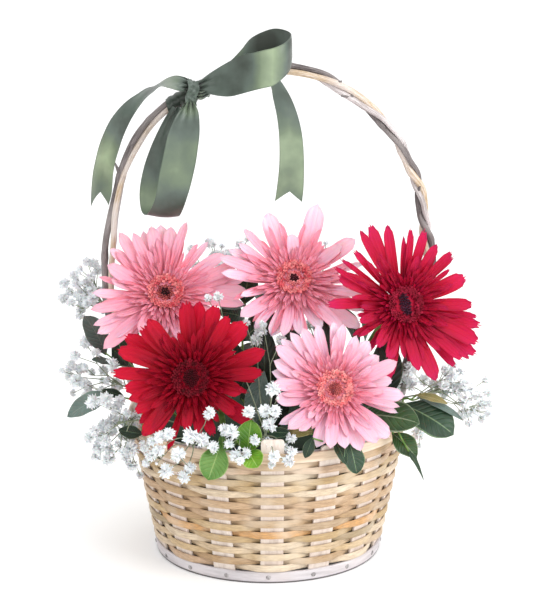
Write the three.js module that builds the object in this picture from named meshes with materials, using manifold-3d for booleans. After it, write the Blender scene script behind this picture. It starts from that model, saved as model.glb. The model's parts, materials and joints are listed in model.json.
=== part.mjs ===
// A round split-cane basket with a twisted willow hoop handle and a satin bow, filled with
// gerberas, baby's breath and leafy sprigs that stand in a block of floral foam.
// Millimetres, +Z up, the front of the arrangement towards -Y.
// The origin is the centre of the underside of the basket's base.

import * as THREE from 'three';
import { mergeVertices } from 'three/addons/utils/BufferGeometryUtils.js';
import Module from 'manifold-3d';

const wasm = await Module();
wasm.setup();

const CLEAR = 0.3; // the air between two pieces that touch

// Basket
const STAKES = 15;
const FIRST_STAKE = -88; // degrees, one stake a little right of the front
const FLOOR_R = 84; // from the axis to the middle of a stake at the floor
const LEAN = 0.2; // how far the wall leans out for each millimetre of height
const STAKE_WIDTH = 17;
const STAKE_THICK = 2;
const STAKE_FOOT = 0.4;
const STAKE_TOP = 112;
const DISC_THICK = 7;
const BAND_THICK = 1.8;
const BAND_TOP = 9.5;
const WEAVE_FOOT = 10;
const WEAVE_TOP = 99.5;
const WEAVE_ROWS = 8;
const CANE_THICK = 1.6;
const CANE_GAP = 0.35;
const HOOP_FOOT = 100;
const HOOP_TOP = 108;
const HOOP_THICK = 2;

// Film and foam inside the basket
const LINER_INSET = 15.6; // from the stakes to the film, room for the legs of the handle
const LINER_THICK = 0.8;
const LINER_TOP = 101;
const FOAM_FOOT = DISC_THICK + CLEAR + LINER_THICK + CLEAR;
const FOAM_SHOULDER = 98;
const FOAM_TOP = 103;
const FOAM_EDGE = 5;
const HOLE_FOOT = 58;

// Handle
const ROD_R = 2.4;
const ROD_SIDES = 5;
const TWIST_R = 3;
const TWISTS = 4;
const ROD_STEPS = 34;
const LEG_FOOT = 40;
const LEG_INSET = 7.7; // from the stakes to the middle of the three rods

// Ribbon
const RIBBON_WIDTH = 25;
const RIBBON_THICK = 0.8;

// Flowers
const STEM_R = 2.4;
const EYE_R = 6.5;
const HEAD_BACK = -9; // where the green cup begins, behind the middle of the head
const SPRIG_R = 1.3;
const SPRAY_R = 0.9;
const BRANCH_R = 0.7;
const FLORET_R = 4.8;
const BUNCH_R = 9;
const BUNCHES = 2; // in each spray, the other florets stand alone

const radians = THREE.MathUtils.degToRad;
const at = (x, y, z) => new THREE.Vector3(x, y, z);
const polar = (radius, angle, z) => at(radius * Math.cos(angle), radius * Math.sin(angle), z);
const stakeRadius = (z) => FLOOR_R + LEAN * z;

// The same draws on every run
function randomFrom(seed) {
  let state = seed;
  return () => {
    state = (state * 1664525 + 1013904223) % 4294967296;
    return state / 4294967296;
  };
}

function finish(color, roughness) {
  return new THREE.MeshStandardMaterial({ color, roughness, metalness: 0 });
}

const materials = {
  ply: finish(0xe6d8cc, 0.75),
  stake: finish(0xead9d2, 0.75),
  cane: finish(0xd2b589, 0.7),
  bark: finish(0x7d6f69, 0.85),
  peeled: finish(0xd9b890, 0.7),
  blush: finish(0xcfb4a8, 0.75),
  film: finish(0x3f5a44, 0.4),
  foam: finish(0x2f6b45, 0.95),
  satin: finish(0x6b806c, 0.4),
  pink: finish(0xf08ca8, 0.6),
  red: finish(0xbe1830, 0.6),
  eye: finish(0x3a1018, 0.8),
  stem: finish(0x6f9a4e, 0.6),
  leaf: finish(0x2f5a3e, 0.45),
  lightLeaf: finish(0x6fae45, 0.5),
  gypsophila: finish(0xeef0f2, 0.8),
};

// Solids

function fromTriangles(triangles) {
  const volume = triangles.reduce((sum, [a, b, c]) => sum + a.dot(b.clone().cross(c)), 0);
  const outward = volume < 0 ? triangles.map(([a, b, c]) => [a, c, b]) : triangles;
  const geometry = new THREE.BufferGeometry().setFromPoints(outward.flat());
  return mergeVertices(geometry, 1e-4);
}

function bareMesh(geometry) {
  const bare = geometry.clone();
  bare.deleteAttribute('normal');
  bare.deleteAttribute('uv');
  const merged = mergeVertices(bare, 1e-4);
  const corners = merged.index.array;
  const kept = [];
  for (let i = 0; i < corners.length; i += 3) {
    const [a, b, c] = corners.slice(i, i + 3);
    if (a !== b && b !== c && c !== a) kept.push(a, b, c);
  }
  return { points: merged.attributes.position.array, kept };
}

function solidOf(geometry) {
  const { points, kept } = bareMesh(geometry);
  return new wasm.Manifold(new wasm.Mesh({
    numProp: 3,
    vertProperties: Float32Array.from(points),
    triVerts: Uint32Array.from(kept),
  }));
}

function geometryOf(solid) {
  const mesh = solid.getMesh();
  const geometry = new THREE.BufferGeometry();
  geometry.setAttribute('position', new THREE.BufferAttribute(mesh.vertProperties, 3));
  geometry.setIndex(new THREE.BufferAttribute(mesh.triVerts, 1));
  geometry.computeVertexNormals();
  return geometry;
}

const joined = (geometries) => geometries.map(solidOf).reduce((sum, solid) => sum.add(solid));

// A solid skin over sections with equal numbers of corners; a section of one corner is a tip
function loft(sections) {
  const triangles = [];
  for (let i = 1; i < sections.length; i += 1) {
    const [low, high] = [sections[i - 1], sections[i]];
    const corners = Math.max(low.length, high.length);
    for (let k = 0; k < corners; k += 1) {
      const [a, b] = [low[k % low.length], low[(k + 1) % low.length]];
      const [c, d] = [high[(k + 1) % high.length], high[k % high.length]];
      if (a !== b) triangles.push([a, b, c]);
      if (c !== d) triangles.push([a, c, d]);
    }
  }
  const [first, last] = [sections[0], sections[sections.length - 1]];
  for (let k = 1; k + 1 < first.length; k += 1) triangles.push([first[0], first[k + 1], first[k]]);
  for (let k = 1; k + 1 < last.length; k += 1) triangles.push([last[0], last[k], last[k + 1]]);
  return fromTriangles(triangles);
}

// A profile of [radius, height] turned round +Y
function lathe(profile, sides) {
  const points = profile.map(([radius, height]) => new THREE.Vector2(radius, height));
  return new THREE.LatheGeometry(points, sides);
}

// A profile of [radius, height] turned round the upright axis, with its flats on the stakes
function turned(profile, sides) {
  const flat = Math.PI / sides;
  const points = profile.map(([radius, height]) => new THREE.Vector2(radius / Math.cos(flat), height));
  const start = radians(FIRST_STAKE + 90) - flat;
  const geometry = new THREE.LatheGeometry(points, sides, start, 2 * Math.PI);
  return geometry.rotateX(Math.PI / 2);
}

// A round rod through points, slimmer towards its end where taper is below 1
function rod(points, radius, sides, taper = 1) {
  const sections = points.map((point, i) => {
    const before = points[Math.max(i - 1, 0)];
    const after = points[Math.min(i + 1, points.length - 1)];
    const along = after.clone().sub(before).normalize();
    const across = along.clone().cross(Math.abs(along.y) < 0.9 ? at(0, 1, 0) : at(1, 0, 0)).normalize();
    const other = along.clone().cross(across);
    const size = radius * (1 - (1 - taper) * i / (points.length - 1));
    return Array.from({ length: sides }, (_, k) => {
      const turn = 2 * Math.PI * k / sides;
      return point.clone()
        .addScaledVector(across, size * Math.cos(turn))
        .addScaledVector(other, size * Math.sin(turn));
    });
  });
  return loft(sections);
}

// Basket pieces

const stakeAngle = (k) => radians(FIRST_STAKE + k * 360 / STAKES);

// A point beside a stake: outwards from the axis, and to its side
function besideStake(angle, outward, side, z) {
  const [cos, sin] = [Math.cos(angle), Math.sin(angle)];
  return at(outward * cos - side * sin, outward * sin + side * cos, z);
}

function stake(k) {
  const section = (z) => [[-1, -1], [1, -1], [1, 1], [-1, 1]].map(([out, side]) =>
    besideStake(stakeAngle(k), stakeRadius(z) + out * STAKE_THICK / 2, side * STAKE_WIDTH / 2, z));
  return loft([section(STAKE_FOOT), section(STAKE_TOP)]);
}

function hoop(foot, top, near, far) {
  const corner = (offset, z) => [stakeRadius(z) + offset, z];
  const section = [corner(near, foot), corner(far, foot), corner(far, top), corner(near, top)];
  return turned([...section, section[0]], 2 * STAKES);
}

const HOOP_NEAR = STAKE_THICK / 2 + CLEAR;

function baseDisc() {
  const edge = (z) => [stakeRadius(z) - HOOP_NEAR, z];
  return turned([[0, 0], edge(0), edge(DISC_THICK), [0, DISC_THICK]], 2 * STAKES);
}

// Plain weave: each row of cane passes outside one stake and inside the next, and the rows
// are one body where they cross between two stakes
function weave() {
  const triangles = [];
  const quad = (a, b, c, d) => triangles.push([a, b, c], [a, c, d]);
  const pitch = (WEAVE_TOP - WEAVE_FOOT) / WEAVE_ROWS;
  const crossingHalf = 1.2;
  const restHalf = STAKE_WIDTH / 2 + 0.8;
  const level = (j) => WEAVE_FOOT + pitch * j;
  // side is -1 at the near edge of the crossing after stake k, and +1 at its far edge
  const crossing = (k, side, j, out) => {
    const radius = stakeRadius(level(j));
    return polar(radius + out * crossingHalf, stakeAngle(k + 0.5) + side * crossingHalf / radius, level(j));
  };
  const atCrossing = (k, side, j) => [
    crossing(k, side, j, -1), crossing(k, side, j, 1),
    crossing(k, side, j + 1, 1), crossing(k, side, j + 1, -1),
  ];
  const atStake = (k, side, j) => {
    const outside = (j + k) % 2 === 0;
    const near = STAKE_THICK / 2 + CANE_GAP;
    const [inner, outer] = outside ? [near, near + CANE_THICK] : [-near - CANE_THICK, -near];
    const corner = (out, z) => besideStake(stakeAngle(k), stakeRadius(z) + out, side * restHalf, z);
    const [low, high] = [level(j) + CANE_GAP, level(j + 1) - CANE_GAP];
    return [corner(inner, low), corner(outer, low), corner(outer, high), corner(inner, high)];
  };
  for (let k = 0; k < STAKES; k += 1) {
    for (let j = 0; j < WEAVE_ROWS; j += 1) {
      const run = [atCrossing(k - 1, 1, j), atStake(k, -1, j), atStake(k, 1, j), atCrossing(k, -1, j)];
      for (let i = 1; i < run.length; i += 1) {
        const [low, high] = [run[i - 1], run[i]];
        for (let c = 0; c < 4; c += 1) quad(low[c], low[(c + 1) % 4], high[(c + 1) % 4], high[c]);
      }
      const [a, b] = [atCrossing(k, -1, j), atCrossing(k, 1, j)];
      quad(a[1], a[2], b[2], b[1]);
      quad(a[3], a[0], b[0], b[3]);
    }
    const foot = (side, out) => crossing(k, side, 0, out);
    const top = (side, out) => crossing(k, side, WEAVE_ROWS, out);
    quad(foot(-1, -1), foot(-1, 1), foot(1, 1), foot(1, -1));
    quad(top(-1, 1), top(-1, -1), top(1, -1), top(1, 1));
  }
  return fromTriangles(triangles);
}

function liner() {
  const wall = (z, inset) => [stakeRadius(z) - LINER_INSET - inset, z];
  const foot = DISC_THICK + CLEAR;
  return turned([
    [0, foot], wall(foot, 0), wall(LINER_TOP, 0),
    wall(LINER_TOP, LINER_THICK), wall(foot + LINER_THICK, LINER_THICK), [0, foot + LINER_THICK],
  ], STAKES);
}

function foamBlock() {
  const wall = (z) => stakeRadius(z) - LINER_INSET - LINER_THICK - 2 * CLEAR;
  return turned([
    [0, FOAM_FOOT], [wall(FOAM_FOOT), FOAM_FOOT], [wall(FOAM_SHOULDER), FOAM_SHOULDER],
    [wall(FOAM_SHOULDER) - FOAM_EDGE, FOAM_TOP], [0, FOAM_TOP],
  ], STAKES);
}

// Handle: three rods twisted round each other along an arch, straight and side by side in
// the legs, which stand inside the rim

function handleArch() {
  const leg = (z) => [stakeRadius(z) - LEG_INSET, z];
  const right = [
    leg(LEG_FOOT), leg(75), leg(HOOP_TOP), [111, 152], [119, 180], [123, 208],
    [121.5, 239], [116.5, 270], [108.5, 297], [94.5, 324], [75, 344], [57, 357], [37, 368],
  ];
  const left = right.map(([x, z]) => [-x, z]).reverse();
  const points = [...right, [0, 375.5], ...left].map(([x, z]) => at(x, 0, z));
  return new THREE.CatmullRomCurve3(points);
}

function handleRod(number) {
  const arch = handleArch();
  const length = arch.getLength();
  const straight = (HOOP_TOP - LEG_FOOT + 20) / length;
  const points = arch.getSpacedPoints(ROD_STEPS).map((middle, i) => {
    const share = i / ROD_STEPS;
    const twisted = THREE.MathUtils.clamp((share - straight) / (1 - 2 * straight), 0, 1);
    const phase = 2 * Math.PI * (number / 3 + 0.5 + TWISTS * twisted);
    const along = arch.getTangentAt(share);
    const outward = along.clone().cross(at(0, 1, 0));
    return middle
      .addScaledVector(outward, -TWIST_R * Math.cos(phase))
      .addScaledVector(at(0, 1, 0), TWIST_R * Math.sin(phase));
  });
  const section = new THREE.Shape(Array.from({ length: ROD_SIDES }, (_, k) => {
    const turn = 2 * Math.PI * k / ROD_SIDES;
    return new THREE.Vector2(ROD_R * Math.cos(turn), ROD_R * Math.sin(turn));
  }));
  const path = new THREE.CatmullRomCurve3(points);
  return new THREE.ExtrudeGeometry(section, { steps: ROD_STEPS, bevelEnabled: false, extrudePath: path });
}

// Ribbon

// A flat band along points, across in the given direction, with a width for each share of it
function ribbonBand(points, across, width, steps) {
  const path = new THREE.CatmullRomCurve3(points.map((point) => at(...point)));
  const sections = [];
  for (let i = 0; i <= steps; i += 1) {
    const share = i / steps;
    const along = path.getTangentAt(share);
    const side = across(share).addScaledVector(along, -across(share).dot(along)).normalize();
    const face = along.clone().cross(side).multiplyScalar(RIBBON_THICK / 2);
    side.multiplyScalar(width(share) / 2);
    const middle = path.getPointAt(share);
    sections.push([
      middle.clone().add(side).add(face), middle.clone().sub(side).add(face),
      middle.clone().sub(side).sub(face), middle.clone().add(side).sub(face),
    ]);
  }
  return loft(sections);
}

const KNOT_SHARE = 0.577; // how far along the handle the bow is tied
const GATHERED = 8; // the width of the ribbon where it enters the knot

// Full width in the middle, gathered at both ends, or at the start alone
const opened = (part) => GATHERED + (RIBBON_WIDTH - GATHERED) * Math.min(1, part);
const loopWidth = (share) => opened(4 * Math.min(share, 1 - share));
const tailWidth = (share) => opened(3 * share);

function ribbon() {
  const upper = ribbonBand([
    [-51, -16, 360], [-39, -26, 366], [-21, -36, 373], [-4, -40, 378], [9, -34, 384], [15, -22, 388],
    [12, -12, 392], [-1, -9, 394], [-16, -9, 386], [-30, -10, 377], [-43, -12, 369], [-52, -13, 362],
  ], () => at(-0.1, 0, 1), loopWidth, 13);
  const hanging = ribbonBand([
    [-56, -16, 352], [-60, -28, 337], [-63, -36, 318], [-67, -38, 296], [-72, -32, 278], [-78, -22, 269],
    [-83, -12, 274], [-82, -9, 292], [-78, -9, 314], [-70, -10, 335], [-61, -12, 349],
  ], () => at(1, -0.15, 0), loopWidth, 12);
  const leftTail = ribbonBand([
    [-57, -14, 361], [-68, -18, 366], [-80, -21, 365], [-91, -22, 356], [-103, -22, 341], [-114, -22, 319],
    [-121, -21, 296], [-126, -20, 272],
  ], (share) => (share < 0.2 ? at(0, 0.7, 0.5) : at(0.75, 0.65, 0.3)), tailWidth, 8);
  const rightAcross = (share) => (share < 0.4 ? at(0, 0.2, 1) : at(1, -0.35, 0.3));
  const rightWidth = (share) => (share < 0.4 ? 10 : tailWidth(share - 0.3));
  const rightTail = ribbonBand([
    [-50, -11, 358], [-32, -11, 364], [-13, -11, 366], [1, -11, 366], [10, -12, 357], [15, -13, 340],
    [17, -14, 318], [17, -14, 296], [16, -14, 272],
  ], rightAcross, rightWidth, 10);
  const arch = handleArch();
  const tied = arch.getPointAt(KNOT_SHARE);
  const knot = new THREE.IcosahedronGeometry(7.5, 0).translate(-56.7, -13.5, 356.4);
  const [near, far] = [TWIST_R + ROD_R + 2 * CLEAR, TWIST_R + ROD_R + 2.4];
  const wrapProfile = [[near, -6], [far, -6], [far, 6], [near, 6], [near, -6]];
  const wrap = lathe(wrapProfile, 10);
  const along = arch.getTangentAt(KNOT_SHARE);
  wrap.applyQuaternion(new THREE.Quaternion().setFromUnitVectors(at(0, 1, 0), along));
  wrap.translate(...tied);
  const notch = (x, y, z, turn) => {
    const corners = [[-9, -16], [9, -16], [0, 10]];
    const section = (depth) => corners.map(([side, up]) => at(side, depth, up));
    return loft([section(-14), section(14)]).rotateY(turn).translate(x, y, z);
  };
  return joined([upper, hanging, leftTail, rightTail, knot, wrap])
    .subtract(solidOf(notch(-126, -20, 270, radians(-12))))
    .subtract(solidOf(notch(16, -14, 270, radians(2))));
}

// Gerberas: each head is made facing +Z and turned to its place afterwards

// A narrow blade with a keel underneath, from the middle of the head outwards
function petal({ angle, from, to, half, rise, root, keel, stations }) {
  const across = at(-Math.sin(angle), Math.cos(angle), 0);
  const sections = stations.map(([share, width]) => {
    const height = root + rise * share ** 1.6;
    const middle = polar(from + (to - from) * share, angle, height);
    if (width === 0) return [middle];
    return [
      middle.clone().addScaledVector(across, half * width),
      middle.clone().addScaledVector(across, -half * width),
      middle.clone().add(at(0, 0, -keel)),
    ];
  });
  return loft(sections);
}

const LONG_PETAL = [[0, 0.35], [0.4, 0.75], [0.8, 1], [1, 0]];
const SHORT_PETAL = [[0, 0.4], [0.65, 1], [1, 0]];

function petalRing({ count, offset, stations, random, to, spread, ...shape }) {
  return Array.from({ length: count }, (_, k) => petal({
    ...shape,
    stations,
    angle: 2 * Math.PI * (k + offset + spread * (random() - 0.5)) / count,
    to: to * (1 - 0.09 * random()),
    rise: shape.rise + 1.5 * random(),
  }));
}

function gerberaHead({ radius, cup, seed }) {
  const random = randomFrom(seed);
  const profile = [[0, HEAD_BACK], [5, HEAD_BACK], [11, -3], [13.5, 1.5], [10, 4.6], [0, 4.6]];
  const core = lathe(profile, 8).rotateX(Math.PI / 2);
  return joined([
    core,
    ...petalRing({
      count: 14, offset: 0, stations: LONG_PETAL, random, from: 9, to: radius, half: 6.2,
      rise: cup, root: -1.5, keel: 1.3, spread: 0.2,
    }),
    ...petalRing({
      count: 12, offset: 0.5, stations: SHORT_PETAL, random, from: 9, to: radius * 0.88, half: 5.6,
      rise: cup + 1, root: 1, keel: 1.2, spread: 0.2,
    }),
    ...petalRing({
      count: 6, offset: 0.2, stations: SHORT_PETAL, random, from: 8, to: radius * 0.5, half: 3,
      rise: 6, root: 3, keel: 1.4, spread: 0.3,
    }),
  ]);
}

// The dark eye, a low button with notched edge
function gerberaEye() {
  const foot = 4.6 + CLEAR;
  const edge = [[EYE_R, foot], [EYE_R - 0.5, foot + 2], [EYE_R - 3, foot + 3]];
  const profile = [[0, foot], ...edge, [0, foot + 2.4]];
  return lathe(profile, 8).rotateX(Math.PI / 2);
}

// The green cup behind a head and the stem from it into the foam
function gerberaStem({ centre, facing, foot }) {
  const back = (depth) => centre.clone().addScaledVector(facing, depth);
  const cupBase = HEAD_BACK - CLEAR;
  const profile = [[0, cupBase - 8], [3, cupBase - 8], [7, cupBase - 4], [8, cupBase], [0, cupBase]];
  const cup = lathe(profile, 6).rotateX(Math.PI / 2);
  cup.applyQuaternion(new THREE.Quaternion().setFromUnitVectors(at(0, 0, 1), facing));
  cup.translate(...centre);
  const [x, y] = foot;
  const upper = new THREE.CubicBezierCurve3(
    back(cupBase - 5), back(cupBase - 26), at(x, y, FOAM_TOP + 32), at(x, y, FOAM_TOP + 4));
  const points = [...upper.getPoints(5), at(x, y, FOAM_TOP), at(x, y, HOLE_FOOT + 0.5)];
  return joined([cup, rod(points, STEM_R, 5)]);
}

function facingOf({ turn, tilt }) {
  const [across, up] = [radians(turn), radians(tilt)];
  return at(Math.sin(across) * Math.cos(up), -Math.cos(across) * Math.cos(up), Math.sin(up));
}

// turn is to the right of the front and tilt upwards, in degrees; foot is in the foam
const GERBERAS = [
  {
    name: 'pink_left', colour: 'pink', at: [-77.5, -25, 209], radius: 64, cup: 9,
    turn: 10, tilt: 34, foot: [-46, -4], seed: 11,
  },
  {
    name: 'pink_centre', colour: 'pink', at: [19.6, -20, 218.4], radius: 61, cup: 10,
    turn: 2, tilt: 38, foot: [8, 8], seed: 23,
  },
  {
    name: 'red_right', colour: 'red', at: [100.7, -38, 201.7], radius: 62, cup: 10,
    turn: 16, tilt: 18, foot: [58, -8], seed: 37,
  },
  {
    name: 'red_front', colour: 'red', at: [-55.2, -80, 157.3], radius: 59, cup: 9,
    turn: -4, tilt: 16, foot: [-34, -40], seed: 41,
  },
  {
    name: 'pink_front', colour: 'pink', at: [48.4, -84, 149.3], radius: 51, cup: 8,
    turn: 8, tilt: 26, foot: [32, -44], seed: 59,
  },
];

// Leafy sprigs

// A pointed blade from root to tip, arched towards its upper face
function leaf({ root, tip, width, up = [0, -0.5, 1], arch = 0.12 }) {
  const [from, to] = [at(...root), at(...tip)];
  const along = to.clone().sub(from);
  const length = along.length();
  const side = along.clone().cross(at(...up)).normalize();
  const face = side.clone().cross(along).normalize();
  const stations = [[0, 0.1], [0.33, 0.9], [0.68, 0.85], [1, 0]];
  return loft(stations.map(([share, wide]) => {
    const middle = from.clone().addScaledVector(along, share)
      .addScaledVector(face, 4 * arch * length * share * (1 - share));
    if (wide === 0) return [middle];
    const half = side.clone().multiplyScalar(wide * width / 2);
    return [middle.clone().add(half), middle.clone().sub(half), middle.clone().addScaledVector(face, -1.2)];
  }));
}

function sprig({ foot: [x, y], bends, leaves }) {
  const points = [at(x, y, HOLE_FOOT + 0.5), at(x, y, FOAM_TOP + 3), ...bends.map((bend) => at(...bend))];
  return joined([rod(points, SPRIG_R, 4, 0.6), ...leaves.map(leaf)]);
}

const BACK = [0, 0.6, 1];

const SPRIGS = [
  {
    name: 'left_upper', foot: [-66, 4], bends: [[-90, -6, 128], [-106, -10, 150]],
    leaves: [
      { root: [-105, -10, 149], tip: [-144, -14, 184], width: 27, up: [0.5, -1, 0.6] },
      { root: [-98, -8, 139], tip: [-136, -24, 150], width: 15 },
      { root: [-104, -10, 148], tip: [-112, -2, 186], width: 18, up: [0.4, -1, 0.2] },
    ],
  },
  {
    name: 'left_lower', foot: [-68, -16], bends: [[-92, -24, 122], [-112, -28, 127]],
    leaves: [
      { root: [-111, -28, 127], tip: [-153, -32, 112], width: 22, up: [0, -0.9, 1] },
      { root: [-98, -26, 124], tip: [-116, -62, 118], width: 16 },
    ],
  },
  {
    name: 'right_front', foot: [66, -30], bends: [[84, -52, 122], [92, -64, 124]],
    leaves: [
      { root: [80, -50, 121], tip: [112, -76, 123], width: 24, up: [0.1, -0.9, 0.8], arch: 0.05 },
      { root: [91, -63, 124], tip: [117, -88, 82], width: 19, up: [0.5, -0.8, 0.5] },
    ],
  },
  {
    name: 'right', foot: [72, -8], bends: [[92, -22, 122], [106, -34, 128]],
    leaves: [
      { root: [104, -33, 127], tip: [140, -52, 108], width: 32, up: [0.3, -0.9, 0.7] },
      { root: [106, -34, 128], tip: [148, -42, 119], width: 9, up: [0, -0.4, 1] },
    ],
  },
  {
    name: 'front_right', foot: [44, -62], bends: [[50, -86, 113.6], [53, -99, 114.2]],
    leaves: [
      { root: [52, -95, 114], tip: [58, -111, 92], width: 13, up: [0.3, -1, 0.3], arch: 0.06 },
      { root: [53, -98, 114.2], tip: [76, -104, 90], width: 14, up: [0.5, -1, 0.3], arch: 0.06 },
    ],
  },
  {
    name: 'front_light', light: true, foot: [-22, -70], bends: [[-20, -92, 116], [-18, -101, 119]],
    leaves: [
      { root: [-19, -101, 118], tip: [-44, -121, 93], width: 19, up: [0, -1, 0.3] },
      { root: [-19, -99, 118], tip: [-4, -109, 131], width: 17, up: [0, -1, 0.4] },
      { root: [-18, -100, 119], tip: [-2, -120, 101], width: 17, up: [0.1, -1, 0.3] },
    ],
  },
  {
    name: 'middle', foot: [-6, -44], bends: [[-4, -60, 122]],
    leaves: [
      { root: [-4, -58, 120], tip: [-10, -62, 160], width: 18, up: [0, -1, 0.1] },
      { root: [-5, -52, 114], tip: [20, -56, 142], width: 14, up: [0, -1, 0.2] },
    ],
  },
  {
    name: 'tall', foot: [-16, 26], bends: [[-20, 22, 150], [-18, 12, 192]],
    leaves: [
      { root: [-18, 12, 190], tip: [-14, 3, 224], width: 18, up: [0, -1, 0.2] },
      { root: [-19, 15, 178], tip: [-38, -4, 188], width: 16, up: [0, -1, 0.5] },
      { root: [-20, 21, 158], tip: [6, 12, 186], width: 18, up: [0, -1, 0.4] },
    ],
  },
  {
    name: 'back_left', foot: [-40, 50], bends: [[-60, 74, 130], [-70, 84, 142]],
    leaves: [
      { root: [-60, 74, 130], tip: [-96, 84, 124], width: 22, up: BACK },
      { root: [-58, 72, 127], tip: [-64, 108, 120], width: 20, up: BACK },
      { root: [-70, 84, 142], tip: [-86, 98, 176], width: 20, up: BACK },
      { root: [-66, 80, 138], tip: [-50, 82, 172], width: 16, up: BACK },
      { root: [-43, 54, 111], tip: [-30, 14, 116], width: 22, up: [0, 0, 1] },
    ],
  },
  {
    name: 'back_middle', foot: [4, 60], bends: [[2, 80, 136], [0, 88, 160]],
    leaves: [
      { root: [2, 79, 134], tip: [-26, 98, 126], width: 20, up: BACK },
      { root: [2, 80, 136], tip: [30, 100, 128], width: 20, up: BACK },
      { root: [0, 88, 158], tip: [-20, 94, 190], width: 18, up: BACK },
      { root: [0, 88, 160], tip: [18, 90, 198], width: 18, up: BACK },
      { root: [4, 63, 111], tip: [9, 22, 118], width: 24, up: [0, 0, 1] },
    ],
  },
  {
    name: 'back_right', foot: [46, 44], bends: [[66, 64, 130], [78, 74, 144]],
    leaves: [
      { root: [66, 64, 130], tip: [102, 66, 120], width: 22, up: BACK },
      { root: [64, 62, 127.6], tip: [70, 102, 120], width: 20, up: BACK },
      { root: [78, 74, 144], tip: [96, 82, 180], width: 20, up: BACK },
      { root: [72, 70, 138], tip: [54, 76, 176], width: 16, up: BACK },
      { root: [50, 48, 112], tip: [34, 6, 118], width: 22, up: [0, 0, 1] },
    ],
  },
];

// Baby's breath: thin branches from one or two forks, each with a tight double floret

function floretBranch(fork, place, extra = 0) {
  const along = place.clone().sub(fork).normalize();
  const across = along.clone().cross(at(1, 0, 0)).normalize();
  const other = along.clone().cross(across);
  const ring = (depth, radius) => [[1, 0], [0, 1], [-1, 0], [0, -1]].map(([a, b]) => place.clone()
    .addScaledVector(along, depth)
    .addScaledVector(across, a * (radius + extra))
    .addScaledVector(other, b * (radius + extra)));
  const start = -place.distanceTo(fork) + (extra ? 3 : 0);
  const tip = place.clone().addScaledVector(along, 0.7 * FLORET_R + extra);
  return loft([ring(start, BRANCH_R), ring(-0.8 * FLORET_R - extra, BRANCH_R), ring(0, FLORET_R), [tip]]);
}

const SPRAYS = [
  {
    name: 'left_upper', foot: [-62, 20], forks: [[-104, 16, 160], [-132, 13, 196]],
    cloud: [-140, 8, 200], spread: [17, 16, 24], count: 6, seed: 5,
  },
  {
    name: 'left_middle', foot: [-70, -2], forks: [[-98, -14, 126], [-124, -20, 140]],
    cloud: [-138, -22, 142], spread: [17, 18, 24], count: 6, seed: 6,
  },
  {
    name: 'left_lower', foot: [-62, -38], forks: [[-92, -58, 119], [-108, -66, 119]],
    cloud: [-112, -72, 108], spread: [24, 20, 26], count: 6, seed: 7,
  },
  {
    name: 'front', foot: [-44, -62], forks: [[-54, -88, 114.5], [-54, -107, 113.5]],
    cloud: [-52, -112, 108], spread: [36, 10, 16], count: 7, seed: 8,
  },
  {
    name: 'front_middle', foot: [4, -72], forks: [[0, -92, 116], [-2, -102, 122]],
    cloud: [-6, -106, 122], spread: [26, 10, 20], count: 6, seed: 9,
  },
  {
    name: 'right', foot: [74, 10], forks: [[104, -12, 122], [132, -14, 128]],
    cloud: [146, -14, 130], spread: [24, 20, 24], count: 6, seed: 10,
  },
  {
    name: 'back_left', foot: [-20, 66], forks: [[-28, 72, 140], [-35, 60, 190]],
    cloud: [-37, 50, 222], spread: [26, 22, 20], count: 6, seed: 12,
  },
  {
    name: 'back_right', foot: [26, 62], forks: [[34, 80, 128], [38, 88, 150]],
    cloud: [42, 88, 164], spread: [30, 20, 26], count: 6, seed: 13,
  },
];

// A tight bunch of twelve florets that stand out of one another
function floretBunch(place) {
  const peaks = new THREE.IcosahedronGeometry(1, 0).attributes.position;
  const bunch = new THREE.IcosahedronGeometry(1, 1);
  const points = bunch.attributes.position;
  const corner = new THREE.Vector3();
  const peak = new THREE.Vector3();
  for (let i = 0; i < points.count; i += 1) {
    corner.fromBufferAttribute(points, i).normalize();
    const cosine = (_, k) => peak.fromBufferAttribute(peaks, k).dot(corner);
    const cosines = Array.from({ length: peaks.count }, cosine);
    corner.multiplyScalar(Math.max(...cosines) > 0.99 ? BUNCH_R : 0.62 * BUNCH_R);
    points.setXYZ(i, corner.x, corner.y, corner.z);
  }
  return bunch.translate(...place);
}

// A drawn place is kept where its floret and branch stand clear of all that is there already
function spray({ foot: [x, y], forks, cloud, spread, count, seed }, standing) {
  const random = randomFrom(seed);
  const [first, second] = forks.map((fork) => at(...fork));
  const stem = rod([at(x, y, HOLE_FOOT + 0.5), at(x, y, FOAM_TOP + 3), first, second], SPRAY_R, 3, 0.8);
  const places = [];
  const parts = [stem];
  const own = [];
  for (let tries = 0; tries < 60 * count && places.length < count; tries += 1) {
    const draw = spread.map(() => 2 * random() - 1);
    const place = at(...cloud.map((middle, axis) => middle + spread[axis] * draw[axis]));
    const outside = Math.hypot(...draw) > 1;
    const crowded = places.some((other) => other.distanceTo(place) < 2 * FLORET_R);
    if (outside || crowded || place.distanceTo(second) < 2.5 * FLORET_R) continue;
    const bunched = places.length < BUNCHES && tries < 20 * count;
    const fork = first.clone().lerp(second, 1 - 0.7 * places.length / count);
    const room = solidOf(floretBranch(fork, place, bunched ? BUNCH_R - FLORET_R + 3 : 2 * CLEAR));
    if ([...standing, ...own].some((other) => !room.intersect(other).isEmpty())) continue;
    places.push(place);
    if (bunched) parts.push(floretBunch(place), rod([fork, place], BRANCH_R, 3));
    else parts.push(floretBranch(fork, place));
    own.push(room);
  }
  return joined(parts);
}

function foamHole([x, y], radius, sides) {
  const size = (radius + CLEAR) / Math.cos(Math.PI / sides);
  return rod([at(x, y, HOLE_FOOT), at(x, y, FOAM_TOP + 1)], size, sides);
}

// The arrangement

const arrangement = new THREE.Group();
const basket = new THREE.Group();
const flowers = new THREE.Group();
arrangement.add(basket, flowers);

function addTo(group, name, geometry, material) {
  const mesh = new THREE.Mesh(geometry, material);
  mesh.name = name;
  group.add(mesh);
  return mesh;
}

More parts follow.
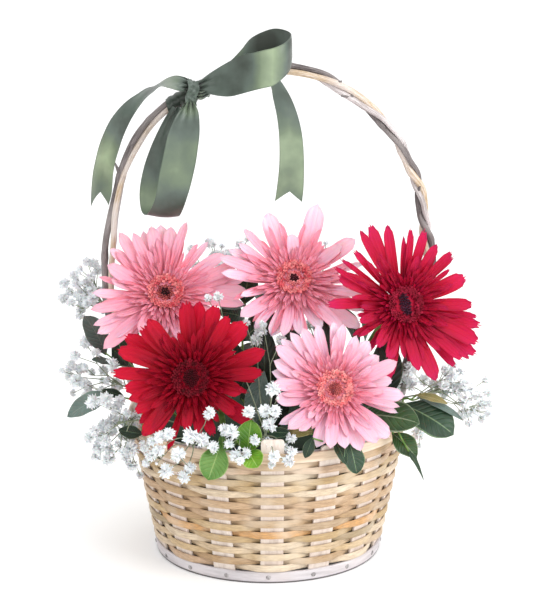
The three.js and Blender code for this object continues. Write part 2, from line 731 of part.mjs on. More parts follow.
// What the sprays have to stand clear of
const standing = [];
function stand(mesh) {
  mesh.updateMatrixWorld(true);
  standing.push(solidOf(mesh.geometry.clone().applyMatrix4(mesh.matrixWorld)));
}

addTo(basket, 'base_disc', baseDisc(), materials.ply);
addTo(basket, 'base_band', hoop(0, BAND_TOP, HOOP_NEAR, HOOP_NEAR + BAND_THICK), materials.ply);
addTo(basket, 'weave', weave(), materials.cane);
addTo(basket, 'rim_outer', hoop(HOOP_FOOT, HOOP_TOP, HOOP_NEAR, HOOP_NEAR + HOOP_THICK), materials.ply);
addTo(basket, 'rim_inner', hoop(HOOP_FOOT, HOOP_TOP, -HOOP_NEAR - HOOP_THICK, -HOOP_NEAR), materials.ply);
for (let k = 0; k < STAKES; k += 1) {
  addTo(basket, `stake_${String(k + 1).padStart(2, '0')}`, stake(k), materials.stake);
}
['bark', 'peeled', 'blush'].forEach((kind, number) => {
  addTo(basket, `handle_rod_${kind}`, handleRod(number), materials[kind]);
});
addTo(basket, 'liner', liner(), materials.film);
addTo(basket, 'ribbon', geometryOf(ribbon()), materials.satin);
basket.children.forEach(stand);

for (const bloom of GERBERAS) {
  const [centre, facing] = [at(...bloom.at), facingOf(bloom)];
  const turn = new THREE.Quaternion().setFromUnitVectors(at(0, 0, 1), facing);
  const name = `gerbera_${bloom.name}`;
  const head = addTo(flowers, name, geometryOf(gerberaHead(bloom)), materials[bloom.colour]);
  const eye = addTo(flowers, `${name}_eye`, gerberaEye(), materials.eye);
  for (const mesh of [head, eye]) {
    mesh.position.copy(centre);
    mesh.quaternion.copy(turn);
  }
  const stem = gerberaStem({ centre, facing, foot: bloom.foot });
  addTo(flowers, `${name}_stem`, geometryOf(stem), materials.stem);
}
for (const growth of SPRIGS) {
  const green = growth.light ? materials.lightLeaf : materials.leaf;
  addTo(flowers, `leaves_${growth.name}`, geometryOf(sprig(growth)), green);
}
flowers.children.forEach(stand);
for (const growth of SPRAYS) {
  const geometry = geometryOf(spray(growth, standing));
  stand(addTo(flowers, `gypsophila_${growth.name}`, geometry, materials.gypsophila));
}

const holes = [
  ...GERBERAS.map(({ foot }) => foamHole(foot, STEM_R, 5)),
  ...SPRIGS.map(({ foot }) => foamHole(foot, SPRIG_R, 4)),
  ...SPRAYS.map(({ foot }) => foamHole(foot, SPRAY_R, 3)),
];
const foam = holes.reduce((block, hole) => block.subtract(solidOf(hole)), solidOf(foamBlock()));
addTo(basket, 'foam_block', geometryOf(foam), materials.foam);

export default arrangement;
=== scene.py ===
"""A flower basket: split cane woven on flat stakes, a twisted willow handle with a satin bow,
and gerberas, baby's breath and leafy sprigs that stand in floral foam.

Shapes are worked out in millimetres and kept in metres, +Z up, the front towards -Y."""

import json
from bisect import bisect
from math import atan2, cos, pi, radians, sin, sqrt, tau
from random import Random

import bpy
from mathutils import Matrix, Vector, noise
from mathutils.bvhtree import BVHTree

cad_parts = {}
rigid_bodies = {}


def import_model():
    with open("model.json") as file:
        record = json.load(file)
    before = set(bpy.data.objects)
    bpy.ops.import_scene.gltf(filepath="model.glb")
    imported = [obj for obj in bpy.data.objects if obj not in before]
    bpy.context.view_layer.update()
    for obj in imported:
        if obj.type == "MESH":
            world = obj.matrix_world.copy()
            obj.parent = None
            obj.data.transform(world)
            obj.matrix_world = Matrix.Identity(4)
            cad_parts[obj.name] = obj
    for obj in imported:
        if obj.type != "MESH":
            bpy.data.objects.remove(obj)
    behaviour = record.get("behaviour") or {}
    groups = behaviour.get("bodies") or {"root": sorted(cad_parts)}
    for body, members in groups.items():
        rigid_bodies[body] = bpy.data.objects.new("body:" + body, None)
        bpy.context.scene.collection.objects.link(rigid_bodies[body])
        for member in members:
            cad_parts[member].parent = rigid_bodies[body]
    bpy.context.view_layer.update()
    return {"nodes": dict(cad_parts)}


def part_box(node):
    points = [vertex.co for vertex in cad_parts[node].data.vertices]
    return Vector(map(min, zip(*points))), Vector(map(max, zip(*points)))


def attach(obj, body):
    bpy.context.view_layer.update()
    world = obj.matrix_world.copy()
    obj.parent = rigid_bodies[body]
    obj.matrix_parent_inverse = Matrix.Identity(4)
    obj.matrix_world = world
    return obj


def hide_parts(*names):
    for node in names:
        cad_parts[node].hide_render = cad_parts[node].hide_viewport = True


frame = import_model()

MM = 0.001
UP = Vector((0, 0, 1))
REARWARD = Vector((0, 1, 0))


def height_of(node):
    """The lowest and highest level of a solid of the frame, in millimetres."""
    low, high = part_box(node)
    return low.z / MM, high.z / MM


# The camera of the photograph

PHOTO_HEIGHT = 608
PHOTO_MIDDLE = (276.5, 304)
FOCAL_PIXELS = 2023
PIXEL = 0.78  # millimetres to a pixel at the blooms
SENSOR = 36
CAMERA_PLACE = (6.5, -1500, 567)
LOOKS_DOWN = 14  # degrees

camera = bpy.data.objects.new("camera", bpy.data.cameras.new("camera"))
bpy.context.scene.collection.objects.link(camera)
camera.data.sensor_fit = "VERTICAL"
camera.data.sensor_height = SENSOR
camera.data.lens = FOCAL_PIXELS * SENSOR / PHOTO_HEIGHT
camera.data.clip_end = 100
camera.location = Vector(CAMERA_PLACE) * MM
camera.rotation_euler = (radians(90 - LOOKS_DOWN), 0, 0)
bpy.context.scene.camera = camera


def seen_along(across, down):
    """The direction in which a pixel of the photograph is seen, from the camera."""
    view = Vector(((across - PHOTO_MIDDLE[0]) / FOCAL_PIXELS, (PHOTO_MIDDLE[1] - down) / FOCAL_PIXELS, -1))
    view.rotate(camera.rotation_euler)
    return view


def seen_at(across, down, y):
    """The place on the upright plane Y = y that shows at a pixel of the photograph."""
    eye, view = camera.location / MM, seen_along(across, down)
    return eye + view * ((y - eye.y) / view.y)


# Working on objects

def polar(radius, angle, z):
    return Vector((radius * cos(angle), radius * sin(angle), z))


def spokes(angle):
    """The directions outwards and across, at an angle round the upright."""
    return polar(1, angle, 0), Vector((sin(angle), -cos(angle), 0))


def scatter(own, reach):
    """A random step, no further than the reach along each axis."""
    return Vector([own.uniform(-reach, reach) for _ in range(3)])


def eased(share):
    """0 to 1 with a soft start and a soft end."""
    share = min(max(share, 0), 1)
    return share * share * (3 - 2 * share)


def only(obj):
    bpy.ops.object.select_all(action="DESELECT")
    obj.select_set(True)
    bpy.context.view_layer.objects.active = obj


def apply(obj, kind, **settings):
    """Gives the object a modifier and applies it."""
    only(obj)
    modifier = obj.modifiers.new(kind.title(), kind)
    for name, value in settings.items():
        setattr(modifier, name, value)
    bpy.ops.object.modifier_apply(modifier=modifier.name)
    return obj


def grid(name, across, along, shape):
    """A grid that is laid over a shape: shape(u, v) is a place in millimetres."""
    bpy.ops.object.select_all(action="DESELECT")
    bpy.ops.mesh.primitive_grid_add(x_subdivisions=across, y_subdivisions=along, size=1, calc_uvs=True)
    obj = bpy.context.object
    obj.name = name
    for vertex in obj.data.vertices:
        vertex.co = Vector(shape(vertex.co.x + 0.5, vertex.co.y + 0.5)) * MM
    return obj


def sheet(name, across, along, shape, thickness):
    """A thin closed piece: a grid on the middle of the shape, then its thickness."""
    return thicken(grid(name, across, along, shape), thickness)


def thicken(obj, thickness):
    return apply(obj, "SOLIDIFY", thickness=thickness * MM, offset=0)


def soften(obj, width):
    """Takes the sharpness off the edges."""
    return apply(obj, "BEVEL", width=width * MM, segments=2, limit_method="ANGLE", angle_limit=radians(60))


def choose(obj, kind, wanted):
    """Selects the edges or the faces that are wanted, and stays in edit mode."""
    bpy.ops.object.mode_set(mode="EDIT")
    bpy.ops.mesh.select_all(action="DESELECT")
    bpy.ops.mesh.select_mode(type=kind)
    bpy.ops.object.mode_set(mode="OBJECT")
    for part in obj.data.edges if kind == "EDGE" else obj.data.polygons:
        part.select = wanted(part)
    bpy.ops.object.mode_set(mode="EDIT")


def sew(obj, fill=True):
    """Joins the edges that meet, and fills open ends."""
    only(obj)
    bpy.ops.object.mode_set(mode="EDIT")
    bpy.ops.mesh.select_all(action="SELECT")
    bpy.ops.mesh.remove_doubles(threshold=0.01 * MM)
    if fill:
        bpy.ops.mesh.fill_holes(sides=0)
    bpy.ops.mesh.select_all(action="SELECT")
    bpy.ops.mesh.normals_make_consistent(inside=False)
    bpy.ops.object.mode_set(mode="OBJECT")
    return obj


def tube(name, points, radius, around=8):
    """A round closed rod through points. radius(share) is its size along the way."""
    stations = turned_least(points)
    last = len(stations) - 1

    def shape(u, v):
        middle, side, other = stations[round(v * last)]
        return middle + (side * cos(tau * u) + other * sin(tau * u)) * radius(v)

    return sew(grid(name, around, last, shape))


def turned_least(points):
    """Each point of a line with two directions across it, which turn as little as they can."""
    points = [Vector(point) for point in points]
    stations, side = [], None
    for i, point in enumerate(points):
        along = (points[min(i + 1, len(points) - 1)] - points[max(i - 1, 0)]).normalized()
        if side is None:
            side = along.orthogonal()
        side = (side - along * side.dot(along)).normalized()
        stations.append((point, side, along.cross(side)))
    return stations


def join(name, parts):
    only(parts[0])
    for part in parts:
        part.select_set(True)
    bpy.ops.object.join()
    parts[0].name = name
    return parts[0]


def give(obj, name, value):
    """A number that a finish reads, the same all over the object."""
    layer = obj.data.attributes.new(name, "FLOAT", "POINT")
    layer.data.foreach_set("value", [value] * len(obj.data.vertices))
    return obj


def finish(obj, name, nodes, looks, angle=40):
    """Turns the faces out, smooths them, gives the finishes and puts the piece in place of its solids."""
    sew(obj, fill=False)
    bpy.ops.object.shade_smooth_by_angle(angle=radians(angle))
    obj.name = obj.data.name = name
    for look in looks:
        obj.data.materials.append(look.material)
    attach(obj, "root")
    if nodes:
        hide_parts(*nodes)
    return obj


class Path:
    """A smooth line through points, read by its share of the length."""

    def __init__(self, points, fine=24):
        points = [Vector(point) for point in points]
        run = [2 * points[0] - points[1], *points, 2 * points[-1] - points[-2]]
        self.spots = []
        for a, b, c, d in zip(run, run[1:], run[2:], run[3:]):
            first, middle, last = (sqrt((q - p).length) for p, q in ((a, b), (b, c), (c, d)))
            leaving = ((b - a) / first - (c - a) / (first + middle) + (c - b) / middle) * middle
            arriving = ((c - b) / middle - (d - b) / (middle + last) + (d - c) / last) * middle
            bend = 3 * (c - b) - 2 * leaving - arriving
            turn = 2 * (b - c) + leaving + arriving
            for k in range(fine):
                t = k / fine
                self.spots.append(b + leaving * t + bend * t ** 2 + turn * t ** 3)
        self.spots.append(points[-1])
        self.reached = [0]
        for p, q in zip(self.spots, self.spots[1:]):
            self.reached.append(self.reached[-1] + (q - p).length)
        self.length = self.reached[-1]

    def at(self, share):
        goal = min(max(share, 0), 1) * self.length
        i = min(bisect(self.reached, goal), len(self.spots) - 1)
        before, after = self.reached[i - 1], self.reached[i]
        return self.spots[i - 1].lerp(self.spots[i], (goal - before) / (after - before))

    def between_points(self, share):
        """The place at a share of the number of points, not of the length."""
        goal = min(max(share, 0), 1) * (len(self.spots) - 1)
        i = min(int(goal), len(self.spots) - 2)
        return self.spots[i].lerp(self.spots[i + 1], goal - i)

    def along(self, share):
        return (self.at(share + 0.004) - self.at(share - 0.004)).normalized()

    def points(self, count):
        return [self.at(i / count) for i in range(count + 1)]


class Unit:
    """The shape of a modelled object, kept for its copies, in shares of a size. The object goes."""

    def __init__(self, obj, size=(1, 1, 1)):
        mesh = obj.data
        uv = mesh.uv_layers.active.data
        self.points = [
            Vector([part / MM / whole for part, whole in zip(vertex.co, size)]) for vertex in mesh.vertices]
        self.faces = [tuple(face.vertices) for face in mesh.polygons]
        self.uvs = [tuple(uv[i].uv) for face in mesh.polygons for i in face.loop_indices]
        bpy.data.objects.remove(obj)


def turned(around, profile):
    """A closed round shape from its (radius, height) from pole to pole."""
    last = len(profile) - 1

    def shape(u, v):
        radius, height = profile[round(v * last)]
        return polar(radius, tau * u, height)

    return Unit(sew(grid("turned", around, last, shape), fill=False))


class Pile:
    """Copies of units, each laid in its own place, that make one piece."""

    def __init__(self):
        self.points, self.faces, self.uvs, self.tints, self.depths, self.looks = [], [], [], [], [], []

    def add(self, unit, rule, tint=0.5, depth=0.0, look=0):
        start = len(self.points)
        self.points += [rule(point) * MM for point in unit.points]
        self.faces += [tuple(start + i for i in face) for face in unit.faces]
        self.uvs += unit.uvs
        self.tints += [tint] * len(unit.points)
        self.depths += [depth] * len(unit.points)
        self.looks += [look] * len(unit.faces)

    def take(self, obj, tint, look=0):
        """A whole object, as it stands. The object goes."""
        self.add(Unit(obj), lambda point: point, tint, look=look)

    def object(self):
        mesh = bpy.data.meshes.new("pile")
        mesh.from_pydata(self.points, [], self.faces)
        uv = mesh.uv_layers.new(name="UVMap")
        uv.data.foreach_set("uv", [number for pair in self.uvs for number in pair])
        for key, values in (("tint", self.tints), ("depth", self.depths)):
            mesh.attributes.new(key, "FLOAT", "POINT").data.foreach_set("value", values)
        mesh.polygons.foreach_set("material_index", self.looks)
        obj = bpy.data.objects.new("pile", mesh)
        bpy.context.scene.collection.objects.link(obj)
        return obj


# Finishes

def linear(red, green, blue):
    """A colour as the eye reads it, 0 to 255, in the light's own numbers."""
    return (*((part / 255) ** 2.2 for part in (red, green, blue)), 1)


class Look:
    """A material with its nodes. Sockets that are the same all over are set on the shader."""

    def __init__(self, name, **sockets):
        self.material = bpy.data.materials.new(name)
        self.material.use_nodes = True
        self.tree = self.material.node_tree
        self.shader = self.tree.nodes["Principled BSDF"]
        for key, value in sockets.items():
            self.shader.inputs[key.replace("_", " ")].default_value = value
        places = self.tree.nodes.new("ShaderNodeTexCoord")
        self.spot, self.uv = places.outputs["Object"], places.outputs["UV"]

    def feed(self, socket, value):
        """Links or sets a socket. A colour is given as the eye reads it."""
        if isinstance(value, bpy.types.NodeSocket):
            self.tree.links.new(value, socket)
        else:
            socket.default_value = linear(*value) if socket.type == "RGBA" else value

    def node(self, kind, sockets, **settings):
        """A new node, with what its sockets are given by name or number."""
        node = self.tree.nodes.new(f"ShaderNode{kind}")
        for key, value in settings.items():
            setattr(node, key, value)
        for key, value in sockets.items():
            self.feed(node.inputs[key], value)
        return node

    def attribute(self, name):
        return self.node("Attribute", {}, attribute_name=name).outputs["Fac"]

    def split(self, vector):
        return self.node("SeparateXYZ", {0: vector}).outputs

    def stretched(self, vector, scale):
        return self.node("Mapping", {"Vector": vector, "Scale": scale}).outputs[0]

    def noise(self, vector, scale, detail=3.0, roughness=0.5):
        sockets = {"Vector": vector, "Scale": scale, "Detail": detail, "Roughness": roughness}
        return self.node("TexNoise", sockets).outputs["Fac"]

    def cells(self, vector, scale):
        return self.node("TexVoronoi", {"Vector": vector, "Scale": scale}).outputs["Distance"]

    def math(self, kind, *values):
        return self.node("Math", dict(enumerate(values)), operation=kind).outputs[0]

    def from_middle(self, share):
        """How far from one half a share is."""
        return self.math("ABSOLUTE", self.math("SUBTRACT", share, 0.5))

    def ramp(self, factor, *stops):
        """Colours or grey values by place: stops are (place, colour)."""
        node = self.node("ValToRGB", {"Fac": factor})
        elements = node.color_ramp.elements
        while len(elements) < len(stops):
            elements.new(0.5)
        for element, (place, colour) in zip(elements, stops):
            element.position = place
            element.color = linear(*colour) if isinstance(colour, tuple) else (colour, colour, colour, 1)
        return node.outputs["Color"]

    def mix(self, factor, one, other, kind="MIX"):
        return self.node("Mix", {0: factor, 6: one, 7: other}, data_type="RGBA", blend_type=kind).outputs[2]

    def colour(self, value):
        self.feed(self.shader.inputs["Base Color"], value)

    def shaded(self, base, darkest):
        """The colour of a pile, whose copies are darker or lighter by their tone and light: a random tone for
        most, painted light and shade where a copy is given how much light it gets.
        """
        shade = self.ramp(self.attribute("tint"), (0.0, darkest), (1.0, 1.0))
        self.colour(self.mix(1.0, base, shade, "MULTIPLY"))

    def relief(self, height, distance):
        """Bumps of the surface: the height is 0 to 1 and distance is in millimetres."""
        node = self.node("Bump", {"Height": height, "Distance": distance * MM, "Strength": 1.0})
        self.feed(self.shader.inputs["Normal"], node.outputs[0])
        return self


def pale_ply(name, grain, dark, middle, light, stain):
    """Bare ply. grain stretches the fibres along one direction. It is darker in a thin line at its foot,
    where it stands.
    """
    look = Look(name, Roughness=0.7)
    fibres = look.noise(look.stretched(look.spot, grain), 260, 5, 0.65)
    clouds = look.noise(look.spot, 22, 2)
    base = look.ramp(fibres, (0.3, dark), (0.52, middle), (0.75, light))
    stained = look.mix(look.ramp(clouds, (0.35, 0.0), (0.75, 0.55)), base, stain)
    # Darker in a thin line at the foot, fading out by about 1.7 mm up.
    height = look.math("MULTIPLY", look.split(look.spot)[2], 100)
    look.colour(look.mix(look.ramp(height, (0.1, 0.9), (0.17, 0.0)), stained, (64, 60, 60)))
    return look.relief(fibres, 0.15)


UPRIGHT, LEVEL = (1, 1, 0.08), (0.1, 0.1, 1)
STAKE_PLY = pale_ply("stake_ply", UPRIGHT, (204, 188, 176), (230, 217, 206), (243, 234, 224), (220, 198, 184))
BAND_PLY = pale_ply("band_ply", LEVEL, (172, 166, 168), (206, 201, 204), (226, 222, 226), (208, 196, 194))
RIM_PLY = pale_ply("rim_ply", LEVEL, (176, 146, 114), (216, 192, 162), (238, 222, 202), (232, 212, 196))


def split_cane():
    """Straw, tan, pink or grey by the strip, with fibres along it and a darker skin here and there."""
    look = Look("split_cane", Roughness=0.5)
    by_strip = look.ramp(
        look.attribute("tint"), (0.0, (174, 141, 104)), (0.14, (212, 185, 143)), (0.28, (186, 157, 110)),
        (0.42, (230, 209, 180)), (0.56, (166, 149, 117)), (0.7, (208, 177, 149)), (0.84, (190, 157, 116)),
        (1.0, (211, 160, 103)))
    strands = look.noise(look.stretched(look.uv, (9, 34, 1)), 1.6, 4, 0.7)
    patches = look.noise(look.spot, 34, 2)
    streaked = look.mix(look.ramp(strands, (0.3, 0.7), (0.62, 0.0)), by_strip, (132, 104, 78))
    look.colour(look.mix(look.ramp(patches, (0.45, 0.0), (0.75, 0.6)), streaked, (232, 218, 198)))
    return look.relief(strands, 0.25)


SPLIT_CANE = split_cane()


def willow(name, dark, middle, light, streaks, roughness):
    """A rod's skin, streaked along it, with paler patches."""
    look = Look(name, Roughness=roughness)
    lengthwise = look.noise(look.stretched(look.uv, (5, streaks, 1)), 3, 5, 0.75)
    patches = look.noise(look.spot, 28, 3)
    base = look.ramp(lengthwise, (0.32, dark), (0.5, middle), (0.68, light))
    look.colour(look.mix(look.ramp(patches, (0.46, 0.0), (0.6, 0.6)), base, light))
    return look.relief(lengthwise, 0.9)


WILLOW = {
    "bark": willow("willow_bark", (58, 52, 52), (100, 92, 92), (160, 152, 150), 20, 0.85),
    "peeled": willow("willow_peeled", (146, 118, 92), (208, 184, 152), (228, 220, 220), 14, 0.65),
    "blush": willow("willow_blush", (112, 104, 102), (188, 178, 176), (230, 222, 222), 14, 0.7),
}


def green_film():
    look = Look("green_film", Roughness=0.5)
    creases = look.noise(look.spot, 60, 4, 0.6)
    look.colour(look.ramp(creases, (0.3, (30, 30, 20)), (0.7, (58, 66, 42))))
    return look.relief(creases, 0.8)


def floral_foam():
    look = Look("floral_foam", Roughness=0.95)
    pores = look.cells(look.spot, 900)
    clouds = look.noise(look.spot, 40, 3)
    base = look.ramp(clouds, (0.3, (22, 42, 30)), (0.7, (36, 62, 42)))
    look.colour(look.mix(look.ramp(pores, (0.0, 0.7), (0.4, 0.0)), base, (12, 26, 18)))
    return look.relief(pores, 0.5)


def green_satin():
    """Threads along the ribbon, with their sheen and shade painted in: the light that each band is given, and
    painted light and shade over its folds. Its selvedges are firm.
    """
    look = Look("green_satin", Roughness=0.36, Sheen_Weight=0.3, Sheen_Roughness=0.4, Specular_IOR_Level=0.5)
    threads = look.noise(look.stretched(look.uv, (120, 2, 1)), 1, 2)
    painted_fold_light = look.math("SUBTRACT", look.noise(look.spot, 44, 3), 0.5)
    edge = look.from_middle(look.split(look.uv)[0])
    # Painted light: each band's given light, with painted light and shade over its folds.
    light = look.math("ADD", look.attribute("tint"), look.math("MULTIPLY", painted_fold_light, 0.8))
    base = look.ramp(
        light, (0.0, (46, 52, 44)), (0.3, (82, 94, 86)), (0.6, (104, 118, 96)), (1.0, (148, 164, 132)))
    look.colour(look.mix(look.ramp(edge, (0.465, 0.0), (0.48, 0.35)), base, (62, 78, 64)))
    ribs = look.math("ADD", look.math("MULTIPLY", threads, 0.3), look.ramp(edge, (0.46, 0.0), (0.475, 0.7)))
    return look.relief(ribs, 0.12)


def petal_look(name, root, middle, tip, inner, heart, sheen, gloss):
    """A living petal: furrows and veins along it, a deeper root, painted shade along its edges where petals
    meet, and deeper inner rings.
    """
    look = Look(
        name, Roughness=0.55, Subsurface_Weight=0.3, Subsurface_Scale=0.005, Sheen_Weight=sheen,
        Specular_IOR_Level=gloss)
    u, v, _ = look.split(look.uv)
    veins = look.noise(look.stretched(look.uv, (22, 1.0, 1)), 1, 3, 0.6)
    furrows = look.noise(look.stretched(look.uv, (7, 0.6, 1)), 1, 1)
    outer = look.ramp(v, (0.08, root), (0.42, middle), (0.8, tip))
    deep = look.ramp(v, (0.0, heart), (0.75, inner))
    deeper = look.mix(look.ramp(look.attribute("depth"), (0.0, 0.0), (0.6, 1.0)), outer, deep)
    lined = look.mix(look.ramp(veins, (0.36, 0.3), (0.58, 0.0)), deeper, root)
    grooved = look.mix(look.ramp(furrows, (0.36, 0.35), (0.5, 0.0)), lined, middle)
    # Painted shade along both edges of each petal, where it meets the next: strongest towards the root and
    # faint at the tip.
    painted_shade_at_sides = look.ramp(u, (0.0, 0.45), (0.14, 0.0), (0.86, 0.0), (1.0, 0.45))
    edges = look.math("MULTIPLY", painted_shade_at_sides, look.ramp(v, (0.55, 1.0), (0.95, 0.15)))
    look.shaded(look.mix(edges, grooved, root), 0.88)
    return look.relief(look.math("ADD", veins, furrows), 0.4)


PINK_PETAL = petal_look(
    "pink_petal", (244, 126, 154), (250, 184, 208), (251, 218, 234), (254, 150, 171), (252, 112, 131), 0.1,
    0.35)
RED_PETAL = petal_look(
    "red_petal", (120, 1, 25), (176, 6, 42), (210, 24, 60), (162, 3, 38), (88, 0, 20), 0.0, 0.15)
CRIMSON_PETAL = petal_look(
    "crimson_petal", (134, 2, 36), (184, 8, 56), (196, 26, 84), (184, 6, 54), (120, 0, 34), 0.0, 0.2)


def speckled(name, dark, light, scale=300.0, roughness=0.7):
    """Fine dark and light spots. scale is how many there are to a metre."""
    look = Look(name, Roughness=roughness, Specular_IOR_Level=0.2)
    spots = look.noise(look.spot, scale, 3, 0.6)
    look.shaded(look.ramp(spots, (0.35, dark), (0.65, light)), 0.7)
    return look.relief(spots, 0.2)


EYE_DARK = speckled("eye_dark", (26, 10, 14), (74, 26, 34))
EYE_PLUM = speckled("eye_plum", (34, 16, 28), (84, 46, 66), 500, 0.9)
EYE_MAROON = speckled("eye_maroon", (50, 0, 14), (90, 4, 28), 400, 0.9)
EYE_ROSE = speckled("eye_rose", (126, 44, 50), (206, 108, 104))
FLORET_SALMON = speckled("floret_salmon", (208, 74, 88), (246, 156, 156))
FLORET_CORAL = speckled("floret_coral", (226, 102, 112), (252, 176, 172))
FLORET_RED = speckled("floret_red", (112, 4, 30), (178, 38, 68))
FLORET_MAROON = speckled("floret_maroon", (76, 0, 18), (138, 8, 38))
FLOWER_STEM = speckled("flower_stem", (92, 128, 62), (140, 170, 96), 120, 0.55)
SPRAY_STEM = speckled("spray_stem", (118, 128, 106), (162, 170, 144), 200, 0.7)
NAIL = speckled("nail", (128, 124, 124), (186, 182, 182), 500, 0.45)


def leaf_look(name, dark, light, rib):
    """A waxy leaf with a pale midrib, veins that leave it forwards, and a thin pale edge."""
    look = Look(name, Roughness=0.4, Subsurface_Weight=0.05, Subsurface_Scale=0.003, Specular_IOR_Level=0.42)
    u, v, _ = look.split(look.uv)
    away = look.math("MULTIPLY", look.from_middle(u), 2)
    slant = look.math("SUBTRACT", look.math("MULTIPLY", v, 9), look.math("MULTIPLY", away, 2.4))
    side_veins = look.from_middle(look.math("FRACT", slant))
    clouds = look.noise(look.spot, 70, 3)
    base = look.ramp(clouds, (0.3, dark), (0.72, light))
    veined = look.mix(look.ramp(side_veins, (0.0, 0.16), (0.07, 0.0)), base, rib)
    ribbed = look.mix(look.ramp(away, (0.02, 0.6), (0.06, 0.0)), veined, rib)
    # Each copy is darkened, down to a fifth, by its tone and light: painted shade for leaves given little
    # light, a random tone for the rest.
    look.shaded(look.mix(look.ramp(away, (0.9, 0.0), (0.98, 0.7)), ribbed, rib), 0.2)
    return look.relief(look.ramp(side_veins, (0.0, 0.0), (0.25, 1.0)), 0.3)


DARK_LEAF = leaf_look("dark_leaf", (26, 52, 36), (50, 78, 56), (132, 160, 118))
LIGHT_LEAF = leaf_look("light_leaf", (64, 118, 30), (110, 152, 76), (168, 194, 120))
OLIVE_LEAF = leaf_look("olive_leaf", (110, 112, 62), (170, 152, 98), (200, 190, 140))
GREEN_LEAF = leaf_look("green_leaf", (30, 62, 26), (62, 98, 48), (168, 186, 150))
LIME_LEAF = leaf_look("lime_leaf", (66, 118, 8), (114, 164, 40), (172, 202, 112))
GREY_LEAF = leaf_look("grey_leaf", (84, 106, 98), (112, 134, 126), (130, 150, 140))


def white_floret():
    look = Look("white_floret", Roughness=0.7, Subsurface_Weight=0.1, Subsurface_Scale=0.002)
    spots = look.noise(look.spot, 700, 2)
    look.shaded(look.ramp(spots, (0.3, (224, 228, 231)), (0.6, (247, 249, 250))), 0.88)
    return look.relief(spots, 0.1)


WHITE_FLORET = white_floret()


# Basket

STAKES = 15
FIRST_STAKE = -88  # degrees, one stake a little right of the front
FLOOR_R = 84
LEAN = 0.2
STAKE_WIDTH = 17
STAKE_THICK = 2
CLEAR = 0.3
BAND_OFFSET = STAKE_THICK / 2 + CLEAR
BAND_THICK = 1.6
RIM_THICK = 1.8
FRONT_STAKE_LIFT = 7
LIFT_FROM = 100  # only what is above this height is lifted

dice = Random(4)


def stake_radius(z):
    """How far out the middle of a stake stands at a height."""
    return FLOOR_R + LEAN * z


def stake_angle(k):
    return radians(FIRST_STAKE + k * 360 / STAKES)


def make_stake():
    """One flat strip of ply with its top corners rounded, standing at the origin."""
    foot, top = height_of("stake_01")
    bpy.ops.object.select_all(action="DESELECT")
    bpy.ops.mesh.primitive_cube_add(size=1, location=(0, 0, (foot + top) / 2 * MM))
    obj = bpy.context.object
    obj.scale = (STAKE_THICK * MM, STAKE_WIDTH * MM, (top - foot) * MM)
    bpy.ops.object.transform_apply(location=True, rotation=True, scale=True)

    def at_top_corner(edge):
        ends = [obj.data.vertices[i].co for i in edge.vertices]
        return all(end.z > (top - 1) * MM for end in ends) and abs(ends[0].y - ends[1].y) < MM

    choose(obj, "EDGE", at_top_corner)
    bpy.ops.mesh.bevel(offset=2.5 * MM, segments=4, affect="EDGES")
    bpy.ops.object.mode_set(mode="OBJECT")
    return Unit(soften(obj, 0.3))


stake_unit = make_stake()
for k in range(STAKES):
    angle, lift = stake_angle(k), dice.uniform(-0.8, 0) if k else FRONT_STAKE_LIFT

    def stand(point):
        z = point.z + lift * (point.z > LIFT_FROM)
        return polar(stake_radius(z) + point.x, angle, z) - spokes(angle)[1] * point.y

    pile = Pile()
    pile.add(stake_unit, stand)
    name = f"stake_{k + 1:02d}"
    finish(pile.object(), f"ply_{name}", [name], [STAKE_PLY])


LAP = 9  # degrees that a hoop's end lies over its start
LAP_RISE = 3  # degrees before that, where it begins to rise

HOOPS = [
    # node, how far from the middle of the stakes, thickness, where it laps in degrees, finish
    ("base_band", BAND_OFFSET, BAND_THICK, 86, BAND_PLY),
    ("rim_outer", BAND_OFFSET, RIM_THICK, 60, RIM_PLY),
    ("rim_inner", -BAND_OFFSET, RIM_THICK, 130, BAND_PLY),
]


def hoop(node, near, thick, lap_at):
    """A ply strip bent into a ring, whose last few degrees lap over its start."""
    foot, top = height_of(node)
    outward = 1 if near > 0 else -1

    def shape(u, v):
        run = u * (360 + LAP)
        z = foot + 0.2 + (top - foot - 0.4) * v
        lapped = max(0.0, (run - 360 + LAP_RISE) / (LAP + LAP_RISE) * 3)
        middle = near + outward * (thick / 2 + min(lapped, 1) * thick * 0.9)
        return polar(stake_radius(z) + middle, radians(lap_at + run), z)

    return soften(sheet("hoop", 150, 3, shape, thick), 0.35)


for node, near, thick, lap_at, look in HOOPS:
    finish(hoop(node, near, thick, lap_at), f"ply_{node}", [node], [look])


def make_base():
    """The plywood disc, flat above and below, with a rounded edge."""
    _, top = height_of("base_disc")
    bpy.ops.object.select_all(action="DESELECT")
    radius = stake_radius(0) - BAND_OFFSET
    bpy.ops.mesh.primitive_cylinder_add(
        vertices=120, radius=radius * MM, depth=top * MM, end_fill_type="NGON", location=(0, 0, top / 2 * MM))
    disc = bpy.context.object
    bpy.ops.object.transform_apply(location=True)
    choose(disc, "FACE", lambda face: abs(face.normal.z) > 0.9)
    for inset in (0.5, 14, 30):
        bpy.ops.mesh.inset(thickness=inset * MM)
    bpy.ops.object.mode_set(mode="OBJECT")
    finish(soften(disc, 0.4), "ply_base_disc", ["base_disc"], [BAND_PLY])


make_base()


NAILS = 17
NAIL_R = 1.9
FIRST_NAIL = -89  # degrees


